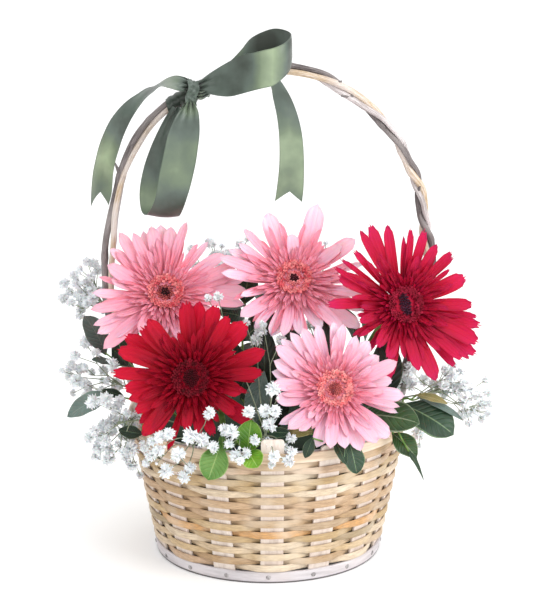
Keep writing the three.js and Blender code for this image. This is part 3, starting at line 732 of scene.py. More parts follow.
def make_nails():
    """Small domed nail heads round the band."""
    bpy.ops.object.select_all(action="DESELECT")
    bpy.ops.mesh.primitive_uv_sphere_add(segments=12, ring_count=8, radius=NAIL_R * MM)
    head = bpy.context.object
    bpy.ops.object.mode_set(mode="EDIT")
    bpy.ops.mesh.select_all(action="SELECT")
    bpy.ops.transform.resize(value=(0.45, 1, 1))
    bpy.ops.object.mode_set(mode="OBJECT")
    unit, pile = Unit(head), Pile()
    _, top = height_of("base_band")
    for k in range(NAILS):
        angle = radians(FIRST_NAIL + k * 360 / NAILS) + dice.uniform(-0.02, 0.02)
        z = top * dice.uniform(0.42, 0.56)
        centre = polar(stake_radius(z) + BAND_OFFSET + BAND_THICK, angle, z)
        turn = Matrix.Rotation(angle, 3, "Z")
        pile.add(unit, lambda point: centre + turn @ point, dice.random())
    finish(pile.object(), "band_nails", [], [NAIL])


make_nails()


# The weave: strips of split cane that pass outside one stake and inside the next

WEAVE_ROWS = 19
CANE_THICK = 1.6
CANE_HEIGHT = 5.5
STEPS_A_STAKE = 10
CANE_GAP = 0.35  # between a strip and the stake that it passes
CANE_REST = 0.25  # how far from a crossing the cane lies against the stake, as a share of the pitch
STEP_STAKE = 7  # the stake at the back where each round climbs to the next row
STEP_SPAN = 0.06  # how much of a round the climb takes
TUCK = 1.5  # how far a strip's ends go in behind the next strip

dice = Random(337)


def cane_section(share):
    """The outline of a strip, which is domed on its bark side. Gives (outward, upward), -1 to 1."""
    outward, upward = cos(tau * share), sin(tau * share)
    domed, flat = abs(outward) ** 0.7, abs(upward) ** 0.5
    return domed * (1 if outward > 0 else -0.8), flat * (1 if upward > 0 else -1)


def make_strip(first, last):
    """One strip from one stake to another. Stakes are counted on along the spiral of rows."""
    foot, top = height_of("weave")
    pitch = (top - foot) / WEAVE_ROWS
    lowest, highest = foot + pitch / 2, top - pitch / 2
    steps = round((last - first) * STEPS_A_STAKE)
    height = CANE_HEIGHT * dice.uniform(0.92, 1.04)
    waver = dice.uniform(0, 50)

    def shape(u, v):
        spot = first + (last - first) * v
        row, done = divmod(spot / STAKES, 1)
        climbed = min(max(row + eased((done - 1 + STEP_SPAN) / STEP_SPAN), 0), WEAVE_ROWS - 1)
        z = lowest + (highest - lowest) * climbed / (WEAVE_ROWS - 1)
        near = round(spot)
        off = abs(spot - near)
        ease = eased((0.5 - off) / (0.5 - CANE_REST))
        outside = 1 if near % 2 == 0 else -1
        swell = 0.9 * max(0, 1 - (off / CANE_REST) ** 2) if outside > 0 else 0
        tucked = max(0, 1 - min(v, 1 - v) * steps / 4)
        depth = outside * (STAKE_THICK / 2 + CANE_GAP + CANE_THICK / 2) * ease + swell * 0.6 - TUCK * tucked
        drift = 0.5 * noise.noise(Vector((spot * 0.7, waver, 0)))
        tall = height * (0.88 + 0.12 * ease) * (1 - 0.3 * tucked)
        outward, upward = cane_section(u)
        angle = radians(FIRST_STAKE + (spot + STEP_STAKE) * 360 / STAKES)
        thick = CANE_THICK / 2 * (1 - 0.2 * tucked)
        return polar(stake_radius(z) + depth + outward * thick, angle, z + drift + upward * tall / 2)

    return give(sew(grid("strip", 10, steps, shape)), "tint", dice.random())


def make_weave():
    strips, spot, end = [], -1, WEAVE_ROWS * STAKES
    while spot < end:
        last = spot + dice.choice((6, 8, 10, 12, 14))
        if end - last < 6:
            last = end
        strips.append(make_strip(spot - 0.3, last + 0.3))
        spot = last
    finish(join("weave", strips), "cane_weave", ["weave"], [SPLIT_CANE], 50)


make_weave()


# Film and foam inside

LINER_INSET = 15.6
FILM_THICK = 0.4


def make_liner():
    """Thin film with a creased rim, pressed into the basket round the foam."""
    foot, top = height_of("liner")
    profile = [
        (0, foot), (0.55, foot), (0.97, foot), (1, foot + 3), (1, foot + 30), (1, foot + 60), (1, top - 8),
        (1, top)]

    def shape(u, v):
        share, z = profile[round(v * (len(profile) - 1))]
        angle = tau * u
        crease = 0.55 * sin(angle * 23 + 2 * sin(angle * 5)) * max(0, (z - foot - 30) / (top - foot - 30))
        radius = share * (stake_radius(z) - LINER_INSET - FILM_THICK + crease)
        wave = 0.8 * sin(angle * 17) if z == top else 0
        return polar(radius, angle, z + wave - 0.8 * (z == top))

    film = thicken(sew(grid("liner", 160, len(profile) - 1, shape), fill=False), FILM_THICK)
    finish(film, "film_liner", ["liner"], [green_film()])


make_liner()
frame["nodes"]["foam_block"].data.materials.clear()
frame["nodes"]["foam_block"].data.materials.append(floral_foam().material)


# Handle: three rods twisted round each other, straight in the legs

ROD_R = 2.25
TWIST_R = 2.7
ROD_STEPS = 260
KNUCKLES = 9
# How far the bark rod has turned round the handle, in turns, at shares of the arch: 0 is its outer side and
# 0.75 its front. The blush rod stands a third of a turn on, the peeled rod two thirds.
TURNS = [
    (0, 2.5), (0.115, 2.5), (0.25, 2), (0.29, 1.46), (0.34, 0.8), (0.375, 0.5), (0.41, 0.3), (0.46, 0),
    (0.5, -0.05), (0.6, 0), (0.64, -0.07), (0.7, 0), (0.75, 0.03), (0.8, -0.1), (0.885, -0.5), (1, -0.5)]
LEG_FOOT = 40
LEG_INSET = 7.7
HOOP_TOP = height_of("rim_outer")[1]
# The cut stubs of side twigs, from foot to end, as they show in the photograph
SPURS = [((333, 84), (342, 81)), ((353, 97), (341, 96)), ((417, 193), (421, 184)), ((119, 172), (115, 163))]


def handle_arch():
    """The middle line of the handle, from the foot of its right leg to the foot of its left leg."""
    leg = [(stake_radius(z) - LEG_INSET, z) for z in (LEG_FOOT, 75, HOOP_TOP)]
    right = leg + [
        (111, 152), (119, 180), (123, 208), (121.5, 239), (116.5, 270), (108.5, 297), (94.5, 324), (75, 344),
        (57, 357), (37, 368)]
    left = [(-x, z) for x, z in reversed(right[:-2])]
    left[3:6] = [(-115, 270), (-119, 239), (-121.5, 208)]
    over_bow = [(0, 374.5), (-37, 364.5), (-57, 354.5)]
    return Path([(x, 0, z) for x, z in right + over_bow + left])


ARCH = handle_arch()


def turned_at(share):
    for (before, low), (after, high) in zip(TURNS, TURNS[1:]):
        if share <= after:
            return low + (high - low) * eased((share - before) / (after - before))
    return TURNS[-1][1]


def bump(share, middle, reach):
    """1 at the middle, and 0 from as far away as the reach on."""
    return max(0, 1 - abs(share - middle) / reach)


def make_rod(kind, number):
    """One rod of the handle, a little crooked, with the knuckles of its buds."""
    points = []
    for i in range(ROD_STEPS + 1):
        share = i / ROD_STEPS
        phase = tau * (number / 3 + turned_at(share))
        outward = ARCH.along(share).cross(REARWARD)
        apart = TWIST_R * (1 + 0.4 * bump(share, 0.752, 0.04) - 0.45 * bump(share, 0.69, 0.05))
        crook = 1.2 * noise.noise(Vector((share * 22, number * 7, 3)))
        crook += 1.6 * noise.noise(Vector((share * 17, 0, 9)))
        aside = apart * cos(phase) + crook
        points.append(ARCH.at(share) - outward * aside + REARWARD * TWIST_R * sin(phase))
    knuckles = [dice.uniform(0.02, 0.98) for _ in range(KNUCKLES)]

    def radius(share):
        swell = sum(0.5 * bump(share, knuckle, 0.006) for knuckle in knuckles)
        waver = 0.28 * noise.noise(Vector((share * 30, number * 9, 0)))
        return ROD_R * (1.02 + 0.12 * sin(share * 11 + number * 2)) + waver + swell

    rods = [tube("rod", points, radius, 12)]
    if kind == "bark":
        for base, tip in SPURS:
            stub = Path([seen_at(*base, -2), seen_at(*tip, -4)]).points(4)
            rods.append(tube("spur", stub, lambda share: 1.7 - 1.1 * share, 8))
    rod = join("rod", rods)
    finish(rod, f"willow_rod_{kind}", [f"handle_rod_{kind}"], [WILLOW[kind]], 60)


for number, kind in enumerate(("bark", "blush", "peeled")):
    make_rod(kind, number)


# Ribbon

RIBBON_WIDTH = 25
RIBBON_THICK = 0.4
PLEATS = 3
KNOT_SEEN = (192.5, 92.5, -14.5)  # across and down in the photograph's pixels, and the depth along Y
WRAP_SHARE = 0.591  # where on the arch the ribbon is tied round it
WRAP_R = 5.7
WRAP_LENGTH = 17

# Each band by its two edges as they show in the photograph: across and down in its pixels and the depth
# along Y for one edge, the same for the other, and how much light the satin catches there
UPPER_LOOP = [
    ((196, 93, -15), (196, 84, -15), 0.25), ((208, 94, -19), (210, 73, -18), 0.3),
    ((219, 96, -24), (221, 66, -22), 0.2), ((230, 96.5, -29), (232, 60, -27), 0.2),
    ((241, 94, -34), (242, 55, -32), 0.22), ((252, 91, -37), (252, 53, -35), 0.35),
    ((262, 88.5, -39), (262, 50.5, -37), 0.8), ((272, 86, -39), (273, 48, -37), 1.0),
    ((281, 80, -35), (283, 44, -34), 0.55), ((288, 73, -29), (289, 39, -28), 0.1),
    ((290.5, 67, -22), (291, 34, -20), 0.1), ((286, 63, -14), (285, 30, -12), 0.15),
    ((274, 62, -9), (274, 28.5, -8), 0.05), ((260, 66, -6), (260, 33, -5), 0.05),
    ((250, 72, -5), (250, 39, -4), 0.2), ((240, 80, -6), (241, 50, -5), 0.45),
    ((226, 86, -8), (228, 63, -8), 0.4), ((210, 90, -10), (212, 74, -10), 0.3),
    ((197, 91, -12), (198, 83, -12), 0.25),
]
HANGING_LOOP = [
    ((186, 102, -17), (194, 102, -17), 0.5), ((180, 110, -22), (198, 111, -22), 0.4),
    ((173, 122, -27), (199.5, 122, -28), 0.25), ((168, 135, -31), (199.5, 135, -32), 0.35),
    ((165, 148, -34), (198, 148, -35), 0.45), ((162, 162, -36), (196, 162, -37), 0.5),
    ((159, 176, -37), (193, 176, -38), 0.5), ((157, 188, -37), (190, 188, -38), 0.4),
    ((155, 199, -34), (186.5, 199, -35), 0.15), ((151, 209, -29), (183, 209, -30), 0.15),
    ((146, 215, -22), (179, 216, -23), 0.2), ((142, 212, -15), (176, 214, -15), 0.6),
    ((140, 204, -10), (172, 206, -10), 0.7), ((139.5, 193, -8), (171, 196, -7), 0.65),
    ((141, 180, -7), (172, 183, -6), 0.4), ((144.5, 165, -7), (174, 168, -6), 0.2),
    ((150, 149, -8), (178, 152, -7), 0.12), ((157, 133, -9), (182, 136, -8), 0.12),
    ((165, 118, -11), (186, 120, -10), 0.15), ((173, 107, -13), (188, 108, -12), 0.15),
]
LEFT_TAIL = [
    ((190, 80, -14), (189, 91, -15), 0.15), ((184, 76.5, -12), (182, 91, -20), 0.3),
    ((176, 75.5, -9), (175, 89.5, -26), 0.45), ((168, 78, -8), (168, 88, -31), 0.5),
    ((160, 83, -9), (160, 86.5, -33), 0.4), ((154, 86, -12), (153, 92, -32), 0.25),
    ((147, 88, -15), (146, 98, -30), 0.25), ((138, 93.5, -18), (138, 108, -28), 0.3),
    ((128, 100, -20), (131.5, 118, -26), 0.2), ((119, 108.5, -22), (126, 130, -22), 0.2),
    ((111, 119, -23), (122, 140, -18), 0.25), ((104.5, 132, -24), (118.5, 151, -14), 0.42),
    ((99, 146, -25), (115, 162, -11), 0.65), ((95.5, 160, -25), (113, 172, -9), 0.85),
    ((93, 174, -25), (112.5, 183, -9), 0.75), ((91.5, 190, -25), (111.5, 194, -9), 0.5),
    ((91, 206, -25), (108.5, 205, -9), 0.35),
]
RIGHT_TAIL = [
    ((197, 92, -12), (197, 85, -12), 0.3), ((215, 86, -14), (215, 78, -14), 0.3),
    ((235, 80, -16), (236, 70, -15), 0.3), ((255, 77, -17), (257, 66, -16), 0.3),
    ((267, 80, -16), (272, 70, -15), 0.3), ((271, 87, -14), (280, 80, -13), 0.3),
    ((273, 98, -14), (289, 94, -13), 0.15), ((276, 112, -15), (296, 110, -12), 0.22),
    ((278.5, 128, -16), (300.5, 127, -11), 0.4), ((279.5, 145, -17), (303, 144, -10), 0.7),
    ((279.5, 160, -17), (304, 160, -10), 0.75), ((278.5, 175, -17), (304, 175, -10), 0.7),
    ((277, 188, -16), (303.5, 190, -10), 0.6), ((275, 201, -15), (302, 202, -10), 0.5),
]
KNOT_TUFT = [
    ((196, 99, -15), (196, 92, -15), 0.3), ((200, 100, -18), (201, 91, -17), 0.6),
    ((205, 98, -18), (206, 89, -14), 0.3), ((210, 95, -16), (211, 92, -13), 0.5),
]


BANDS = [
    # edges, how deep its end is notched, how soon its pleats end away from the knot, whether it comes back
    (UPPER_LOOP, 0, 8, True),
    (HANGING_LOOP, 0, 6, True),
    (LEFT_TAIL, 0.062, 7, False),
    (RIGHT_TAIL, 0.06, 3, False),
    (KNOT_TUFT, 0, 0, False),
]


def ribbon_band(stations, notch, spread, looped):
    """A band of ribbon between two edges, pleated where it comes out of the knot, and its length."""
    edges = [Path([seen_at(*station[side]) for station in stations], 12) for side in (0, 1)]
    lights = [station[2] for station in stations]

    def shape(u, v):
        share = v * (1 - notch * (1 - abs(2 * u - 1)))
        one, other = (edge.between_points(share) for edge in edges)
        before, after = (
            sum((edge.between_points(share + step) for edge in edges), Vector()) for step in (-0.02, 0.02))
        face = (other - one).cross(after - before).normalized()
        gathered = max(0, 1 - spread * (min(share, 1 - share) if looped else share))
        spare = max(0, 1 - (other - one).length / RIBBON_WIDTH) * gathered
        pleat = 3.2 * spare * sin(u * tau * PLEATS + 5 * share)
        waver = 0.9 * noise.noise(Vector((share * 7, u * 2, len(stations))))
        waver += 0.9 * cos(pi * (u - 0.5)) * sin(share * 9)
        return one.lerp(other, u) + face * (pleat + waver * (1 - spare))

    band = sheet("band", 20, 5 * (len(stations) - 1), shape, RIBBON_THICK)
    # Each station's painted light is carried along the band, for the satin's painted sheen and shade.
    layer = band.data.attributes.new("tint", "FLOAT", "POINT")
    uv = band.data.uv_layers.active.data
    for face in band.data.polygons:
        for i in face.loop_indices:
            goal = min(max(uv[i].uv.y, 0), 1) * (len(lights) - 1)
            k = min(int(goal), len(lights) - 2)
            value = lights[k] + (lights[k + 1] - lights[k]) * (goal - k)
            layer.data[band.data.loops[i].vertex_index].value = value
    middle = Path([(seen_at(*one) + seen_at(*other)) / 2 for one, other, _ in stations])
    return band, middle.length


def make_knot():
    """The pinched band over the throat of the bow, crumpled along its run."""
    centre = seen_at(*KNOT_SEEN)

    def shape(u, v):
        angle, across = tau * u, 2 * v - 1
        crease = 0.8 * sin(9 * angle + 4 * across) + 0.6 * sin(5 * angle - 7 * across)
        deep, tall = 5.5 + 1.2 * across * across, 8.2 + 1.5 * across * across
        place = Vector((
            across * 4.0 + 0.7 * sin(4 * angle), -(deep + crease * 0.6) * cos(angle),
            (tall + crease * 0.5) * sin(angle)))
        return centre + Matrix.Rotation(radians(8), 3, "Y") @ place

    return sheet("knot", 56, 12, shape, RIBBON_THICK)


def make_wrap():
    """The turns of ribbon that hold the bow to the handle, creased along their run."""
    tied, along = ARCH.at(WRAP_SHARE), ARCH.along(WRAP_SHARE)
    other = along.cross(REARWARD)

    def shape(u, v):
        angle, run = tau * u, (v - 0.5) * WRAP_LENGTH
        radius = WRAP_R + 0.35 * sin(v * tau * 3 + sin(angle))
        return tied + along * (run + 1.5 * sin(angle)) + (REARWARD * cos(angle) + other * sin(angle)) * radius

    return sheet("wrap", 40, 20, shape, RIBBON_THICK)


def make_ribbon():
    parts, length = [], 0.0
    for band in BANDS:
        part, reach = ribbon_band(*band)
        parts.append(part)
        length += reach
    # The knot is given painted light; the wrap is given little, as painted shade.
    parts += [give(make_knot(), "tint", 0.35), give(make_wrap(), "tint", 0.1)]
    ribbon = join("ribbon", parts)
    finish(ribbon, "satin_bow", ["ribbon"], [green_satin()], 60)


make_ribbon()


# Gerberas

EYE_FOOT = 4.9
EYE_R = 6.3
EYE_BUDS = 60
DISC_FLORETS = 110
GOLDEN = radians(137.5)
HEAD_BACK = -9
CUP_BASE = HEAD_BACK - CLEAR
PETAL_THICK = 0.35

BLOOMS = [
    # name, colour, centre, radius, cup, turn right, tilt up, foot, seed
    ("pink_left", "pink", (-77.5, -25, 206.5), 64, 9, 10, 34, (-46, -4), 11),
    ("pink_centre", "pink", (19.6, -20, 215.6), 61, 10, 2, 38, (8, 8), 23),
    ("red_right", "red", (100.7, -38, 201.7), 62, 10, 16, 18, (58, -8), 37),
    ("red_front", "red", (-55.2, -80, 157.3), 59, 9, -4, 16, (-34, -40), 41),
    ("pink_front", "pink", (48.4, -84, 149.3), 51, 8, 8, 26, (32, -44), 59),
]


# Where the tips of the long petals show in the photograph: across, down and half the petal's width, in
# its pixels, clockwise from the top of each bloom
TIPS = {
    "pink_left": [
        (161, 223, 9), (171, 226, 8), (187, 221, 5), (209, 240, 4), (224, 254, 7), (238, 264, 7),
        (247, 277, 8), (248, 291, 8), (245, 304, 7), (222, 318, 7), (200, 331, 7), (186, 344, 8),
        (174, 350, 7), (160, 340, 8), (140, 334, 8), (128, 338, 6), (113, 339, 6), (103, 350, 8),
        (97, 333, 7), (93, 325, 5), (90, 309, 6), (92, 292, 6), (111, 279, 8), (107, 265, 8), (109, 248, 7),
        (119, 232, 7), (133, 233, 6), (143, 231, 6), (151, 226, 8),
    ],
    "pink_centre": [
        (318, 202, 11), (356, 238, 9), (342, 246, 7), (365, 262, 4), (371, 276, 5), (370, 293, 7),
        (366, 309, 7), (361, 328, 8), (343, 330, 7), (322, 328, 7), (300, 334, 6), (283, 337, 6),
        (271, 335, 8), (254, 328, 5), (240, 318, 8), (240, 296, 5), (221, 273, 7), (218, 256, 6),
        (228, 248, 6), (238, 242, 5), (243, 229, 5), (267, 211, 10), (292, 232, 7),
    ],
    "red_right": [
        (388, 223, 6), (404, 235, 3), (411, 227, 4), (425, 228, 6), (438, 243, 6), (452, 251, 5),
        (456, 255, 3), (467, 276, 9), (474, 305, 7), (479, 317, 4), (483, 326, 6), (480, 343, 9),
        (478, 355, 7), (471, 360, 5), (462, 361, 6), (456, 368, 6), (437, 382, 9), (419, 372, 7),
        (388, 381, 5), (389, 360, 7), (377, 348, 6), (366, 353, 3), (358, 337, 3), (358, 322, 5),
        (325, 305, 6), (338, 276, 9), (331, 266, 3), (340, 258, 3), (352, 249, 4), (359, 229, 5),
        (370, 223, 7),
    ],
    "red_front": [
        (200, 300, 9), (217, 304, 9), (229, 315, 7), (247, 322, 11), (266, 350, 9), (264, 372, 7),
        (242, 393, 8), (253, 423, 9), (236, 415, 6), (214, 437, 6), (200, 436, 5), (186, 431, 6),
        (167, 453, 4), (153, 434, 7), (142, 437, 8), (138, 424, 6), (134, 413, 7), (128, 400, 7),
        (123, 389, 8), (110, 373, 7), (117, 349, 9), (124, 335, 9), (140, 326, 8), (147, 318, 8),
        (170, 336, 5), (186, 299, 9),
    ],
    "pink_front": [
        (334, 320, 6), (344, 323, 6), (357, 335, 6), (370, 340, 8), (379, 356, 8), (397, 362, 8),
        (393, 380, 7), (405, 396, 8), (400, 407, 4), (398, 413, 4), (390, 438, 10), (377, 444, 9),
        (361, 451, 9), (345, 449, 8), (330, 449, 7), (317, 447, 8), (299, 431, 7), (288, 429, 7),
        (279, 424, 5), (275, 400, 8), (272, 384, 7), (272, 371, 7), (274, 360, 8), (275, 346, 8),
        (281, 338, 6), (290, 332, 6), (302, 327, 6), (317, 324, 6),
    ],
}


def make_petal(across, along, size, teeth, blunt):
    """A flat petal with two furrows and a notched tip: 2 wide, 1 long. Its relief stays in millimetres."""
    half, length = size
    shoulder = 0.7

    def shape(u, v):
        x = 2 * u - 1
        y = 1 - (1 - v) ** 1.4
        width = 0.3 + 0.7 * sin(pi / 2 * min(y / shoulder, 1)) ** 0.9
        if y > shoulder:
            rounding = ((y - shoulder) / (1 - shoulder)) ** 2
            width *= blunt + (1 - blunt) * sqrt(max(1 - rounding, 0))
        cut = teeth * (0.5 + 0.5 * cos(3 * tau * u)) + 0.05 * x * x
        reach = y - cut * max(0, y - 0.86) / 0.14
        furrow = 0.45 * cos(2.5 * pi * x) * sin(pi * min(y * 1.1, 1))
        return Vector((x * width * half, reach * length, furrow + 1.1 * x * x * width))

    return Unit(sheet("petal", across, along, shape, PETAL_THICK), (half, length, 1))


# How each colour's long petals end: the depth of their notches and the width that is left at the tip
TIP_CUTS = {
    "pink": [(0.015, 0.24), (0.035, 0.34), (0.0, 0.12)],
    "red": [(0.06, 0.45), (0.1, 0.55), (0.03, 0.15)],
}
LONG_PETALS = {
    colour: [make_petal(8, 13, (6, 50), *cut) for cut in cuts] for colour, cuts in TIP_CUTS.items()}
SHORT_PETALS = [make_petal(4, 6, (2.6, 22), *cut) for cut in ((0.04, 0.12), (0.1, 0.36))]

# Flowers of the disc, the core of a head and the cup behind it
BUD = turned(5, [(0, -1.5), (0.7, -1.2), (1, 0), (0.55, 1), (0, 1.2)])
TUBE_FLORET = turned(5, [(0, -2), (0.45, -2), (0.5, 0), (1.15, 1.1), (0.5, 0.7), (0, 0.2)])
CORE = turned(24, [(0, HEAD_BACK), (5, HEAD_BACK), (11, -3), (13.5, 1.5), (10, 4.6), (0, 4.6)])
CUP = turned(24, [
    (0, CUP_BASE - 8), (3, CUP_BASE - 8), (6.6, CUP_BASE - 4), (7.6, CUP_BASE - 0.3), (0, CUP_BASE - 0.3)])


def petal_rule(head, angle, start, end, half, root, rise, droop, twist, sway):
    """Lays a petal from start to end out from its bloom's middle, so that it rises, droops and turns."""
    def rule(point):
        share = point.y
        radius = start + (end - start) * share
        lift = root + rise * max(share, 0) ** 1.6 - droop * max(share, 0) ** 5
        lean = twist * share
        side = half * point.x * cos(lean) - point.z * sin(lean)
        above = point.z * cos(lean) + half * point.x * sin(lean)
        out, across = spokes(angle + sway * share * share)
        return head @ (out * radius + across * side + UP * (lift + above))
    return rule


def petals(pile, head, own, units, count, reach, half, root, rise, depth, start, droop):
    """A ring of petals, each a little different. depth is how deep their colour is, 0 to 1."""
    for k in range(count):
        rule = petal_rule(
            head, tau * (k + own.uniform(-0.4, 0.4)) / count, start, reach * own.uniform(0.78, 1.14),
            half * own.uniform(0.75, 1.15), root + own.uniform(-0.3, 0.3), rise + own.uniform(-2, 2),
            droop * own.uniform(-0.3, 1.6), own.uniform(-0.5, 0.5), own.uniform(-0.12, 0.12))
        pile.add(own.choice(units), rule, own.random(), depth)


def seen_tip(head, height, across, down):
    """Where a tip that shows at a pixel of the photograph is on its bloom, as an angle and a reach."""
    eye, view = camera.location / MM, seen_along(across, down)
    spot = head @ (UP * height)
    facing = (head @ UP - head @ Vector()).normalized()
    tip = head.inverted() @ (eye + view * ((spot - eye).dot(facing) / view.dot(facing)))
    return atan2(tip.y, tip.x), sqrt(tip.x ** 2 + tip.y ** 2)


def long_petals(pile, head, own, units, tips, cup, depth):
    """The long petals, each to where its tip shows in the photograph: (across, down, half its width)."""
    for k, (across, down, half) in enumerate(tips):
        layer = k % 3
        rise = cup - 2 + 2.2 * layer + own.uniform(-1, 1)
        angle, reach = seen_tip(head, rise - 1, across, down)
        sway = own.uniform(-0.05, 0.05)
        rule = petal_rule(
            head, angle - sway, 9, reach, 0.88 * half * PIXEL, layer * 0.9 - 1.5, rise, own.uniform(-1, 3),
            own.uniform(-0.3, 0.3), sway)
        pile.add(own.choice(units), rule, own.random(), depth + 0.1 * layer)


def facing_of(turn, tilt):
    across, up = radians(turn), radians(tilt)
    return Vector((sin(across) * cos(up), -cos(across) * cos(up), sin(up)))


def head_place(centre, turn, tilt):
    """Where a head is: its middle, turned to the right and tilted up, in degrees."""
    facing = facing_of(turn, tilt)
    return Matrix.Translation(Vector(centre)) @ UP.rotation_difference(facing).to_matrix().to_4x4()


# Each bloom's middle: the finish of the core and of the buds round it, where the core ends, how far it is
# drawn out and turned, the florets round it, and how deep the long petals and the next ones are coloured
MIDDLES = {
    "pink_left": (EYE_DARK, EYE_ROSE, 3.2, 1.0, 0, FLORET_SALMON, 0.15, 0.5),
    "pink_centre": (EYE_DARK, FLORET_SALMON, 3.2, 1.0, 0, FLORET_SALMON, 0.0, 0.6),
    "red_right": (EYE_PLUM, EYE_PLUM, 7.0, 1.45, 26, FLORET_RED, 0.0, 0.3),
    "red_front": (EYE_MAROON, EYE_MAROON, 7.0, 1.1, 0, FLORET_MAROON, 0.14, 0.44),
    "pink_front": (EYE_ROSE, FLORET_SALMON, 4.6, 1.0, 0, FLORET_CORAL, 0.02, 0.34),
}

SHORT_RINGS = [
    # how many, reach as a share of the bloom's, half the width, root, rise, depth of colour, start
    (36, 0.54, 1.4, 2.4, 4.2, 0.65, 8),
    (40, 0.43, 1.15, 3, 4.8, 0.8, 8),
    (42, 0.33, 0.95, 3.6, 5, 1.0, 7),
]


def make_head(name, colour, centre, radius, cup, turn, tilt, seed):
    """The petals, from the long ones in to the short ones, and the tube florets round the eye."""
    own, pile, head = Random(seed), Pile(), head_place(centre, turn, tilt)
    florets, long_depth, next_depth = MIDDLES[name][5:]
    long_petals(pile, head, own, LONG_PETALS[colour], TIPS[name], cup, long_depth)
    petals(pile, head, own, LONG_PETALS[colour], 24, radius * 0.72, 2.3, 1, 6, next_depth, 9, 2)
    for count, share, half, root, rise, depth, start in SHORT_RINGS:
        petals(pile, head, own, SHORT_PETALS, count, radius * share, half, root, rise, depth, start, 1)
    pile.add(CORE, lambda point: head @ point, 0.3, 1.0)
    for i in range(DISC_FLORETS):
        ring = 6.9 + 6 * ((i + 0.5) / DISC_FLORETS) ** 0.7
        angle = i * GOLDEN
        spot = polar(ring, angle, 5.2 + 0.3 * (ring - 6.6))
        lean = spokes(angle)[0] * 0.45
        size, tall = own.uniform(0.8, 1.15), own.uniform(0.9, 1.9)

        def place(point):
            flat = Vector((point.x, point.y, 0)) * size
            return head @ (spot + flat + (UP + lean) * point.z * tall)

        pile.add(TUBE_FLORET, place, own.random(), 1.0, look=1)
    petal = {"red_front": RED_PETAL, "red_right": CRIMSON_PETAL}.get(name, PINK_PETAL)
    finish(pile.object(), f"bloom_{name}", [f"gerbera_{name}"], [petal, florets], 50)


def make_eye(name, centre, turn, tilt, seed):
    """The middle: buds on a spiral over a low mound, with a core of its own colour."""
    own, pile, head = Random(seed + 1), Pile(), head_place(centre, turn, tilt)
    core, ring, core_radius, drawn, slant = MIDDLES[name][:5]
    lean = Matrix.Rotation(radians(slant), 3, "Z")
    for i in range(EYE_BUDS):
        radius = EYE_R * sqrt((i + 0.5) / EYE_BUDS)
        spot = polar(radius, i * GOLDEN, EYE_FOOT + 1.6 - 0.02 * radius * radius)
        spot = lean @ Vector((spot.x / drawn, spot.y * drawn, spot.z))
        size, outer = own.uniform(0.75, 1.0), int(radius > core_radius)
        pile.add(BUD, lambda point: head @ (spot + point * size), own.random(), look=outer)
    finish(pile.object(), f"eye_{name}", [f"gerbera_{name}_eye"], [core, ring], 50)


def bezier(a, b, c, d, count):
    curve = []
    for i in range(count + 1):
        t = i / count
        s = 1 - t
        curve.append(a * s ** 3 + b * 3 * s * s * t + c * 3 * s * t * t + d * t ** 3)
    return curve


FOAM_TOP = height_of("foam_block")[1]
HOLE_FOOT = 58
IN_HOLE = HOLE_FOOT + 0.5
STEM_R = 2.4
BRACTS = [(14, -7.5, 8), (16, -5.5, 8), (16, -3.5, 7)]  # how many in a whorl, their foot, their reach


def make_stem(name, centre, turn, tilt, foot, seed):
    """The stem out of the foam, and the cup of green bracts behind the head."""
    own, pile, head = Random(seed + 2), Pile(), head_place(centre, turn, tilt)
    centre, facing = Vector(centre), facing_of(turn, tilt)
    x, y = foot
    upper = bezier(
        centre + facing * (CUP_BASE - 5), centre + facing * (CUP_BASE - 26), Vector((x, y, FOAM_TOP + 32)),
        Vector((x, y, FOAM_TOP + 4)), 24)
    lower = [Vector((x, y, z)) for z in (FOAM_TOP, 90, 75, IN_HOLE)]
    pile.take(tube("stem", upper + lower, lambda share: STEM_R * (1.05 - 0.12 * share), 10), 0.7)
    pile.add(CUP, lambda point: head @ point, 0.5)
    for whorl, (count, low, reach) in enumerate(BRACTS):
        for k in range(count):
            out, across = spokes(tau * (k + 0.5 * whorl) / count)

            def place(point):
                radius = 3.4 + whorl * 1.6 + 3.6 * point.y
                lift = min(CUP_BASE + low + reach * point.y, HEAD_BACK + 3.5)
                return head @ (out * (radius + point.z * 0.5) + across * 1.4 * point.x + UP * lift)

            pile.add(SHORT_PETALS[0], place, own.random())
    finish(pile.object(), f"stem_{name}", [f"gerbera_{name}_stem"], [FLOWER_STEM], 60)


for name, colour, centre, radius, cup, turn, tilt, foot, seed in BLOOMS:
    make_head(name, colour, centre, radius, cup, turn, tilt, seed)
    make_eye(name, centre, turn, tilt, seed)
    make_stem(name, centre, turn, tilt, foot, seed)


# Leafy sprigs

LEAF_THICK = 0.3
LEAF_ARCH = 0.12
SEEN_ARCH = 0.06


def make_leaf(fullest, blunt):
    """A leaf, 2 wide and 1 long, folded a little along its rib. Its relief is a share of half its width."""
    half, length = 9, 40

    def shape(u, v):
        x = 2 * u - 1
        if v < fullest:
            width = 0.05 + 0.95 * sin(pi / 2 * v / fullest) ** 1.1
        else:
            width = max(1 - ((v - fullest) / (1 - fullest)) ** blunt, 0) ** 0.75
        return Vector((x * width * half, v * length, abs(x) * 0.16 * width * half))

    return Unit(sheet("leaf", 8, 16, shape, LEAF_THICK), (half, length, half))


LEAVES = {"oval": make_leaf(0.5, 1.8), "round": make_leaf(0.55, 2.6), "tailed": make_leaf(0.32, 0.62)}
BACK = (0, 0.6, 1)
FACING = (0, -1, 0.3)

